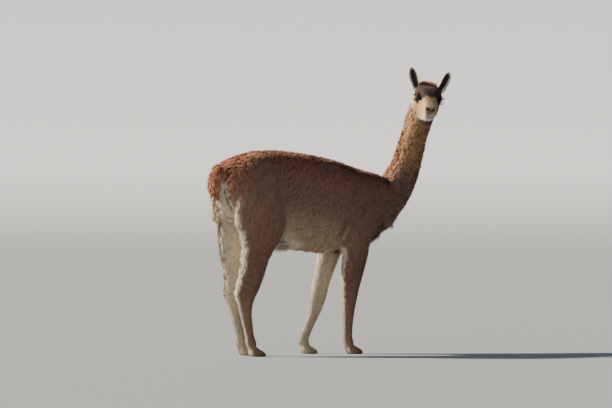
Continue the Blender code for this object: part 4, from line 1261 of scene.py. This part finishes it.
# where the coat differs from its part's own: how much longer, higher, shorter, lower or wider its tufts are
coatPlaces = {
    "breast": {
        "part": "trunk",
        "spans": (("y", -0.40, -0.47), ("y", -0.600, -0.545), ("z", 0.72, 0.62), ("absX", 0.09, 0.05)),
        "longer": 0.026,
        "higher": 0.014,
    },
    "belly": {
        "part": "trunk",
        "facing": ("z", -0.3, -0.8),
        "spans": (("y", -0.36, -0.28),),
        "longer": 0.016,
        "higher": 0.004,
    },
    "hindRight": {
        "part": "hindRight",
        "facing": ("y", 0.30, 0.80),
        "spans": (("z", 0.22, 0.32), ("z", 0.74, 0.64)),
        "longer": 0.016,
        "higher": 0.009,
        "wider": 0.3,
    },
    "hindLeft": {
        "part": "hindLeft",
        "facing": ("y", 0.30, 0.80),
        "spans": (("z", 0.22, 0.32), ("z", 0.74, 0.64)),
        "longer": 0.016,
        "higher": 0.009,
        "wider": 0.3,
    },
    "groin": {
        "spans": (("z", 0.55, 0.51), ("y", -0.03, 0.01), ("y", 0.13, 0.09), ("absX", 0.07, 0.03)),
        "longer": 0.010,
        "higher": 0.020,
    },
    "underTail": {
        "notPart": "tail",
        "spans": (("y", 0.24, 0.32), ("z", 0.77, 0.70), ("absX", 0.085, 0.055)),
        "shorter": 0.55,
        "lower": 0.60,
    },
    "cheeks": {
        "part": "head",
        "onHead": True,
        "spans": (("z", -0.030, -0.075), ("x", 0.050, 0.0)),
        "longer": 0.010,
        "higher": 0.003,
    },
    "crown": {
        "part": "head",
        "onHead": True,
        "spans": (("z", 0.020, 0.034), ("x", -0.036, -0.056), ("absY", 0.046, 0.034)),
        "longer": 0.014,
        "higher": 0.010,
    },
}
nape = {"longer": 0.005, "higher": 0.002}
# curl of the tufts, and how far they draw in to a clump's middle
curls = {"neck": 0.0030, "trunk": 0.0010, "tail": 0.0026}
pulls = {"neck": 0.55, "trunk": 0.25, "tail": 0.35}
leastPull = 0.25


def tuftSizes(place, normal, mix, chance):
    # length, rise, width, curl and pull to the clump for each tuft
    share = mix["share"]
    local = toHead(place)
    count = len(place)
    length = mix["hair"].copy()
    rise = mix["rise"].copy()
    wide = mix["wide"] * chance.uniform(0.75, 1.25, count)
    for area in coatPlaces.values():
        amount = within(local if "onHead" in area else place, *area["spans"])
        if "part" in area:
            amount = amount * share[area["part"]]
        if "notPart" in area:
            amount = amount * (1 - share[area["notPart"]])
        if "facing" in area:
            amount = amount * within(normal, area["facing"])
        length = (length + area.get("longer", 0.0) * amount) * (1 - area.get("shorter", 0.0) * amount)
        rise = (rise + area.get("higher", 0.0) * amount) * (1 - area.get("lower", 0.0) * amount)
        wide *= 1 + area.get("wider", 0.0) * amount
    onNape = share["neck"] * smooth(0.55, 0.9, -(normal * neckFront(mix["station"])).sum(axis=1))
    length += nape["longer"] * onNape
    rise += nape["higher"] * onNape
    curl = sum(share[name] * value for name, value in curls.items())
    pull = leastPull + sum(share[name] * value for name, value in pulls.items())
    length *= chance.uniform(0.70, 1.25, count)
    rise *= chance.uniform(0.55, 1.30, count)
    return length, rise, wide, curl, pull


bare = {"sole": 0.006, "eye": 1.28, "nostril": (0.014, 0.0058, 0.0056), "mouth": 0.0022}


def bareSkin(place):
    # true where no tuft grows: eyes, nostrils, lips and soles
    local = toHead(place)
    found = place[:, 2] < bare["sole"]
    for side in (1, -1):
        measure, reach, u, v = eyeMeasure(local, side)
        found |= (measure < bare["eye"]) & (reach < 0.03)
        found |= (((local - mirrored(muzzle["nostril"], side)) / bare["nostril"]) ** 2).sum(axis=1) < 1
    x, y, z = local.T
    onLips = (x > muzzle["mouthBack"][0]) & (x < 0.14)
    return found | ((np.abs(z - mouthHeight(x)) < bare["mouth"]) & onLips)


blade = {
    "wave": 5.2,
    "pullCurve": 1.4,
    "sunk": 0.0012,  # of the root below the skin, and the least height over the floor
    "taper": 0.55,
    "rootShade": 0.54,
    "tipLight": 0.60,  # added up to the tip
    "round": 0.35,  # how far the shading turns to each side
}


def tuftMesh(name, parts, segments):
    # joined tapered blades; each has two points a segment and one at its tip
    root, normal, lie, side, length, rise, wide, curl, phase, pull, drop, colour, uv, shade = parts
    count = len(root)
    steps = [k / segments for k in range(segments)]
    per = 2 * segments + 1
    points = np.empty((count, per, 3))
    shades = np.empty((count, per, 3))
    colours = np.empty((count, per, 3))
    for k, s in enumerate(steps + [1.0]):
        bend = np.sin(phase + s * blade["wave"]) - np.sin(phase)
        centre = root + lie * (length * s)[:, None]
        centre = centre + normal * (rise * (1 - (1 - s) ** 2) - blade["sunk"] * (1 - s))[:, None]
        centre = centre + side * (curl * bend)[:, None] + pull * s ** blade["pullCurve"]
        centre[:, 2] = np.maximum(centre[:, 2] - drop * s * s, blade["sunk"])
        # painted shade: darker at the root, deep in the coat, lighter up to the tip
        tint = colour * (blade["rootShade"] + blade["tipLight"] * s)
        if k == segments:
            points[:, -1] = centre
            shades[:, -1] = shade
            colours[:, -1] = tint
        else:
            half = wide * (1 - blade["taper"] * s) * 0.5
            points[:, 2 * k] = centre - side * half[:, None]
            points[:, 2 * k + 1] = centre + side * half[:, None]
            shades[:, 2 * k] = shade - side * blade["round"]
            shades[:, 2 * k + 1] = shade + side * blade["round"]
            colours[:, 2 * k] = tint
            colours[:, 2 * k + 1] = tint
    pattern = []
    for k in range(segments - 1):
        a = 2 * k
        pattern += [(a, a + 3, a + 1), (a, a + 2, a + 3)]
    a = 2 * (segments - 1)
    pattern.append((a, a + 2, a + 1))
    pattern = np.array(pattern)
    faces = (np.arange(count) * per)[:, None, None] + pattern[None]
    mesh = bpy.data.meshes.new(name)
    mesh.vertices.add(count * per)
    mesh.vertices.foreach_set("co", points.ravel())
    total = faces.size
    mesh.loops.add(total)
    mesh.loops.foreach_set("vertex_index", faces.ravel().astype(np.int32))
    mesh.polygons.add(total // 3)
    mesh.polygons.foreach_set("loop_start", np.arange(0, total, 3, dtype=np.int32))
    mesh.update(calc_edges=True)
    setColours(mesh, colours.reshape(-1, 3))
    spread = np.zeros((per, 2))
    spread[:, 0] = [(-0.5 if k % 2 == 0 else 0.5) for k in range(per - 1)] + [0.0]
    spread[:, 1] = [(k // 2) / segments - 0.5 for k in range(per - 1)] + [0.5]
    patches = uv[:, None, :] + spread[None] * coat["patch"]
    layer = mesh.uv_layers.new(name="OFBake")
    layer.data.foreach_set("uv", patches.reshape(-1, 2)[faces.ravel()].ravel())
    shadeSmooth(mesh)
    mesh.normals_split_custom_set_from_vertices(unit(shades.reshape(-1, 3)))
    return link(name, mesh)


def clumpSize(share):
    size = trunk["clump"] * share["trunk"] + neck["clump"] * share["neck"]
    size = size + coat["otherClump"] * (1 - share["trunk"] - share["neck"])
    onHead = share["head"] + share["earLeft"] + share["earRight"] > 0.6
    size = np.where(onHead, coat["faceClump"], size)
    # only a few sizes, so that cells agree between neighbours
    return np.choose(np.digitize(size, coat["clumpSteps"]), coat["clumpSizes"])


def planCoat(surface):
    # every tuft's place, shape and colour, in the order that tuftMesh takes them, and the part it is on
    chance = np.random.default_rng(coat["seed"])
    place, normal, uv = rootPlaces(surface, chance)
    keep = ~bareSkin(place)
    place, normal, uv = place[keep], normal[keep], uv[keep]
    mix = readForms(place)
    onNeck = mix["share"]["neck"]
    lie = combDirection(place, normal, mix)
    length, rise, wide, curl, pull = tuftSizes(place, normal, mix, chance)
    colour = markings(place + lie * (coat["colourAt"] * length)[:, None], normal, mix)
    count = len(place)
    size = clumpSize(mix["share"])
    offset, tone = clumps(place, size, 40)
    offset = offset * size[:, None]
    offset = offset - normal * (offset * normal).sum(axis=1)[:, None]
    away = np.linalg.norm(offset, axis=1) / size
    inClump = np.clip(away, 0, 1)
    twist = (tone - 0.5) * (coat["twist"]["trunk"] + coat["twist"]["neck"] * onNeck)
    twist = twist + chance.normal(0, coat["twist"]["stray"], count)
    lie = unit(lie + np.cross(normal, lie) * twist[:, None])
    roll = chance.uniform(-coat["roll"], coat["roll"], count)[:, None]
    side = unit(np.cross(normal, lie) * np.cos(roll) + normal * np.sin(roll))
    pullVector = offset * (pull * np.minimum(1.0, length / 0.02))[:, None]
    # tufts in the middle of a clump stand higher than those at its rim; they are painted lighter and the rims
    # darker, as painted light and shade
    rise = rise * (1.25 - 0.85 * inClump * np.clip(pull * 1.4, 0, 1))
    shade = unit(normal + 0.18 * lie - offset / size[:, None] * (0.9 * pull)[:, None])
    gap = coat["gap"]["pull"] * pull + coat["gap"]["neck"] * onNeck
    tint = 0.90 + 0.20 * tone + 0.12 * onNeck * tone
    tint = tint * chance.uniform(0.88, 1.12, count) * (1.10 - gap * inClump)
    # the fleece is crimped across its lie; its crests are painted lighter and its troughs darker, as painted
    # light and shade
    wave = place[:, 2] * 560 + place[:, 1] * 170 + 3.4 * softNoise(place, 0.05, 52) + 2.0 * tone
    crimp = np.sin(wave) * smooth(0.010, 0.018, length) * (1 - onNeck)
    tint = tint * (1 + coat["crimp"]["tone"] * crimp)
    rise = rise * (1 + coat["crimp"]["rise"] * crimp)
    drop = np.clip(length - 0.03, 0, 1) * 0.30
    phase = chance.uniform(0, 6.28, count)
    fields = [
        place, normal, lie, side, length, rise, wide, curl, phase, pullVector, drop,
        colour * tint[:, None], uv, shade,
    ]
    print("coat planned,", count, "tufts")
    return fields, mix["owner"]


def capital(name):
    return name[0].upper() + name[1:]


def growCoat(surface, bodyMaterial, headMaterial):
    fields, owner = planCoat(surface)
    order = np.lexsort((fields[0][:, 1], owner))
    made = []
    for k, form in enumerate(forms):
        name = form["name"]
        index = order[owner[order] == k]
        segments = coat["segments"].get(name, coat["otherSegments"])
        limit = coat["pieceTriangles"] // (2 * segments - 1)
        for part, start in enumerate(range(0, len(index), limit)):
            chosen = [field[index[start:start + limit]] for field in fields]
            piece = tuftMesh("coat" + capital(name) + str(part + 1), chosen, segments)
            onHead = name in ("head", "earLeft", "earRight")
            piece.data.materials.append(headMaterial if onHead else bodyMaterial)
            made.append(piece)
    print("coat grown,", len(made), "pieces")
    return made


def eyeMaterial():
    made = colouredMaterial("wetEye", 700.0, 4.0, (0.6, 1.4))[0]
    shader = made.node_tree.nodes["Principled BSDF"]
    shader.inputs["Roughness"].default_value = 0.10
    shader.inputs["Coat Weight"].default_value = 1.0
    shader.inputs["Coat Roughness"].default_value = 0.03
    return made


eyeball = {
    "cornea": (0.80, 0.045),  # where it begins, and how far it stands out
    "iris": (0.80, 0.70),  # fades in from the first radius to the second
    "pupil": (0.42, 0.24),  # half length and half height
    "streaks": 40,
    "ballColour": linear(16, 10, 8),
    "irisColour": linear(40, 23, 15),
    "pupilColour": linear(8, 8, 12),
}


def makeEyes():
    wetEye = eyeMaterial()
    made = []
    for name, side in (("Left", 1), ("Right", -1)):
        place, outward, along, upward = eyeAxes(side)
        shape = bmesh.new()
        bmesh.ops.create_uvsphere(shape, u_segments=48, v_segments=24, radius=eye["radius"])
        begins, proud = eyeball["cornea"]
        for vertex in shape.verts:
            vertex.co *= 1 + proud * max(0.0, vertex.co.normalized().z - begins) / (1 - begins)
        mesh = bpy.data.meshes.new("eye" + name)
        shape.to_mesh(mesh)
        shape.free()
        turn = Matrix([list(row) for row in np.stack((along, upward, outward), axis=1)]).to_4x4()
        mesh.transform(turn)
        mesh.transform(headMatrix @ Matrix.Translation(place.tolist()))
        shadeSmooth(mesh)
        local = toHead(coordinates(mesh)) - place
        u, v = local @ along / eye["radius"], local @ upward / eye["radius"]
        facing = local @ outward > 0
        iris = (smooth(*eyeball["iris"], np.hypot(u, v)) * facing)[:, None]
        streak = 0.5 + 0.5 * np.sin(np.arctan2(v, u) * eyeball["streaks"])
        colours = np.tile(eyeball["ballColour"], (len(mesh.vertices), 1))
        colours = colours * (1 - iris) + iris * eyeball["irisColour"] * (0.7 + 0.5 * streak[:, None])
        measure = np.hypot(u / eyeball["pupil"][0], v / eyeball["pupil"][1])
        pupil = (smooth(1.15, 0.85, measure) * facing)[:, None]
        setColours(mesh, colours * (1 - pupil) + pupil * eyeball["pupilColour"])
        mesh.materials.append(wetEye)
        made.append(link("eye" + name, mesh))
    return made


lashes = {
    "upper": (0.04, 0.96, 56),  # first, last and count, in half turns round the opening
    "lower": (1.12, 1.75, 18),
    "inEach": 3,
    "length": 0.0165,
    "rise": 0.0030,
    "wide": 0.0015,
    "drop": 0.0015,
    "stray": (0.18, 0.12),  # sideways and upwards
}


def makeLashes(material):
    # dark lashes along the upper lid, and fewer on the lower one
    chance = np.random.default_rng(8)
    rows = []
    for side in (1, -1):
        place, outward, along, upward = eyeAxes(side)
        for t in np.concatenate((np.linspace(*lashes["upper"]), np.linspace(*lashes["lower"]))):
            angle = math.pi * t
            u = math.cos(angle) * eye["opening"][0] * 1.04
            v = math.sin(angle) * eye["opening"][1] * 1.04 - cornerDrop(u)
            way = along * u + upward * v + outward * math.sqrt(max(0.05, 1 - u * u - v * v))
            root = fromHead(place + way * (eye["radius"] + 0.0016))
            out = outward * 0.9 + along * (0.55 * u + 0.10) + upward * (0.75 * v - 0.28)
            row = (root, headTurn @ upward, headTurn @ (out / np.linalg.norm(out)), headTurn @ along)
            rows += [row] * lashes["inEach"]
    roots, normals, lies, sides = np.array(rows).transpose(1, 0, 2)
    count = len(roots)
    sideways, up = lashes["stray"]
    lies = lies + sides * chance.normal(0, sideways, (count, 1))
    lies = unit(lies + normals * chance.normal(0, up, (count, 1)))
    length = lashes["length"] * chance.uniform(0.6, 1.1, count)
    colour = np.tile(coatColours["dark"] * 0.6, (count, 1))
    none = np.zeros(count)
    uv = chance.uniform(0.1, 0.9, (count, 2))
    rise, wide, drop = none + lashes["rise"], none + lashes["wide"], none + lashes["drop"]
    across = unit(np.cross(normals, lies))
    noPull = np.zeros((count, 3))
    parts = [roots, normals, lies, across, length, rise, wide, none, none, noPull, drop, colour, uv, normals]
    piece = tuftMesh("lashes", parts, 2)
    piece.data.materials.append(material)
    return piece


def makeNails():
    horn = bpy.data.materials.new("horn")
    horn.use_nodes = True
    nodes, links = horn.node_tree.nodes, horn.node_tree.links
    shader = nodes["Principled BSDF"]
    shader.inputs["Roughness"].default_value = 0.42
    where = nodes.new("ShaderNodeTexCoord")
    bands = nodes.new("ShaderNodeTexNoise")
    bands.inputs["Scale"].default_value = 260.0
    stretch = nodes.new("ShaderNodeMapping")
    stretch.inputs["Scale"].default_value = (0.6, 0.15, 2.0)
    ramp = nodes.new("ShaderNodeValToRGB")
    ramp.color_ramp.elements[0].color = (0.020, 0.015, 0.012, 1)
    ramp.color_ramp.elements[1].color = (0.070, 0.052, 0.040, 1)
    links.new(where.outputs["Object"], stretch.inputs["Vector"])
    links.new(stretch.outputs["Vector"], bands.inputs["Vector"])
    links.new(bands.outputs["Fac"], ramp.inputs["Fac"])
    links.new(ramp.outputs["Color"], shader.inputs["Base Color"])
    made = []
    for name, rows in legs.items():
        for outwards, place in ((-1, "Inner"), (1, "Outer")):
            piece = loft("nail" + capital(name) + place, toeRings(rows[-1], outwards, nail))
            shadeSmooth(piece.data)
            piece.data.materials.append(horn)
            made.append(piece)
    return made


stage = {
    "away": (0.809, -0.588, 0.0),  # from the camera
    "across": (0.588, 0.809, 0.0),
    "flat": 22.0,
    "curve": 16.0,
    "steps": 16,
    "half": 34.0,
    "floor": (0.27, 0.28, 0.29, 1),
    "wall": (0.62, 0.63, 0.64, 1),
}


def makeStage(middle):
    # a pale floor that curves up behind the animal
    away, across = np.array(stage["away"]), np.array(stage["across"])
    profile = [(-stage["half"], 0.0), (stage["flat"], 0.0)]
    for k in range(1, stage["steps"] + 1):
        angle = math.pi / 2 * k / stage["steps"]
        forward = stage["flat"] + stage["curve"] * math.sin(angle)
        profile.append((forward, stage["curve"] * (1 - math.cos(angle))))
    points = []
    for forward, up in profile:
        for sideways in (-stage["half"], stage["half"]):
            points.append(tuple(middle + away * forward + across * sideways + (0, 0, up)))
    faces = [(2 * k, 2 * k + 1, 2 * k + 3, 2 * k + 2) for k in range(len(profile) - 1)]
    mesh = bpy.data.meshes.new("floor")
    mesh.from_pydata(points, [], faces)
    shadeSmooth(mesh)
    floor = link("floor", mesh)
    paint = bpy.data.materials.new("palePaint")
    paint.use_nodes = True
    nodes, links = paint.node_tree.nodes, paint.node_tree.links
    nodes["Principled BSDF"].inputs["Roughness"].default_value = 0.9
    # the wall is paler than the floor, so that little light comes back from below
    place = nodes.new("ShaderNodeTexCoord")
    split = nodes.new("ShaderNodeSeparateXYZ")
    height = nodes.new("ShaderNodeMapRange")
    height.inputs["From Max"].default_value = 0.6
    ramp = nodes.new("ShaderNodeValToRGB")
    ramp.color_ramp.elements[0].color = stage["floor"]
    ramp.color_ramp.elements[1].color = stage["wall"]
    links.new(place.outputs["Object"], split.inputs["Vector"])
    links.new(split.outputs["Z"], height.inputs["Value"])
    links.new(height.outputs["Result"], ramp.inputs["Fac"])
    links.new(ramp.outputs["Color"], nodes["Principled BSDF"].inputs["Base Color"])
    mesh.materials.append(paint)
    return floor


camera = {
    "azimuth": 234.0,
    "height": 1.05,
    "distance": 27.0,
    "picture": (612, 408),
    "pixelsPerMetre": 222.0,
    "floorRow": 355.0,  # of the picture, where the feet stand
    "middleColumn": 288.8,
}
lights = {
    "key": {"from": (0.84, 0.86, 0.76), "strength": 11.5, "angle": 4.0, "colour": (1.0, 0.91, 0.78)},
    "fill": {"from": (-0.52, 0.86, 0.42), "strength": 0.74, "angle": 50.0, "colour": (0.74, 0.86, 1.0)},
    "sky": {"strength": 0.22, "colour": (0.66, 0.82, 1.0, 1)},
}


def makeCamera(shift):
    angle = math.radians(camera["azimuth"])
    right = Vector((math.cos(angle), math.sin(angle), 0))
    forward = Vector((-math.sin(angle), math.cos(angle), 0))
    scale = camera["pixelsPerMetre"]
    width, height = camera["picture"]
    aim = right * ((width / 2 - camera["middleColumn"]) / scale)
    aim += Vector((0, 0, (camera["floorRow"] - height / 2) / scale))
    aim += Vector(shift)
    eyePlace = aim - forward * camera["distance"]
    eyePlace.z = camera["height"]
    data = bpy.data.cameras.new("camera")
    data.lens = data.sensor_width * scale * camera["distance"] / width
    data.clip_end = 200
    made = bpy.data.objects.new("camera", data)
    made.location = eyePlace
    made.rotation_mode = "QUATERNION"
    made.rotation_quaternion = (aim - eyePlace).to_track_quat("-Z", "Y")
    bpy.context.scene.collection.objects.link(made)
    bpy.context.scene.camera = made


def makeLights():
    for name in ("key", "fill"):
        spec = lights[name]
        data = bpy.data.lights.new(name, "SUN")
        data.energy = spec["strength"]
        data.angle = math.radians(spec["angle"])
        data.color = spec["colour"]
        made = bpy.data.objects.new(name, data)
        made.rotation_mode = "QUATERNION"
        made.rotation_quaternion = (-Vector(spec["from"])).to_track_quat("-Z", "Y")
        bpy.context.scene.collection.objects.link(made)
    world = bpy.data.worlds.new("studio")
    world.use_nodes = True
    sky = world.node_tree.nodes["Background"]
    sky.inputs["Color"].default_value = lights["sky"]["colour"]
    sky.inputs["Strength"].default_value = lights["sky"]["strength"]
    bpy.context.scene.world = world


def moveIn(pieces, shift):
    for piece in pieces:
        piece.data.transform(Matrix.Translation(shift))


skin = makeSkin()
print("skin made,", len(skin.data.polygons), "faces")
skinPoints = coordinates(skin.data)
skinColours = markings(skinPoints, vertexNormals(skin.data), readForms(skinPoints))
setColours(skin.data, skinColours * skinFit["shade"])
skin.data.materials.clear()
skin.data.materials.append(coatMaterial("shortCoat"))
shadeSmooth(skin.data)
roots = unwrapCopy(skin)
print("skin unwrapped")
bodyCoat = coatMaterial("bodyCoat")
faceCoat = coatMaterial("faceCoat")
coatPieces = growCoat(roots, bodyCoat, faceCoat)
bpy.data.objects.remove(roots)
coatPieces.append(makeLashes(faceCoat))
eyes = makeEyes()
nails = makeNails()
print("eyes and nails made")

# the frame's eye says how far the rows above are from their place
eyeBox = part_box("eye_left")
eyeMiddle = (Vector(eyeBox[0]) + Vector(eyeBox[1])) / 2
shift = eyeMiddle - headMatrix @ Vector(eye["place"])
moveIn([skin] + coatPieces + eyes + nails, shift)
print("moved by", tuple(round(value, 5) for value in shift))

fleshNodes = [
    "torso", "neck", "head", "tail", "ear_left", "ear_right",
    "leg_fore_left", "leg_fore_right", "leg_hind_left", "leg_hind_right",
]
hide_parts(*fleshNodes)
for name, piece in zip(("eye_left", "eye_right"), eyes):
    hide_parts(name)
for piece in [skin] + coatPieces + eyes + nails:
    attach(piece, "root")
makeStage(np.array((shift.x, shift.y - 0.17, 0.0)))
makeCamera(shift)
makeLights()
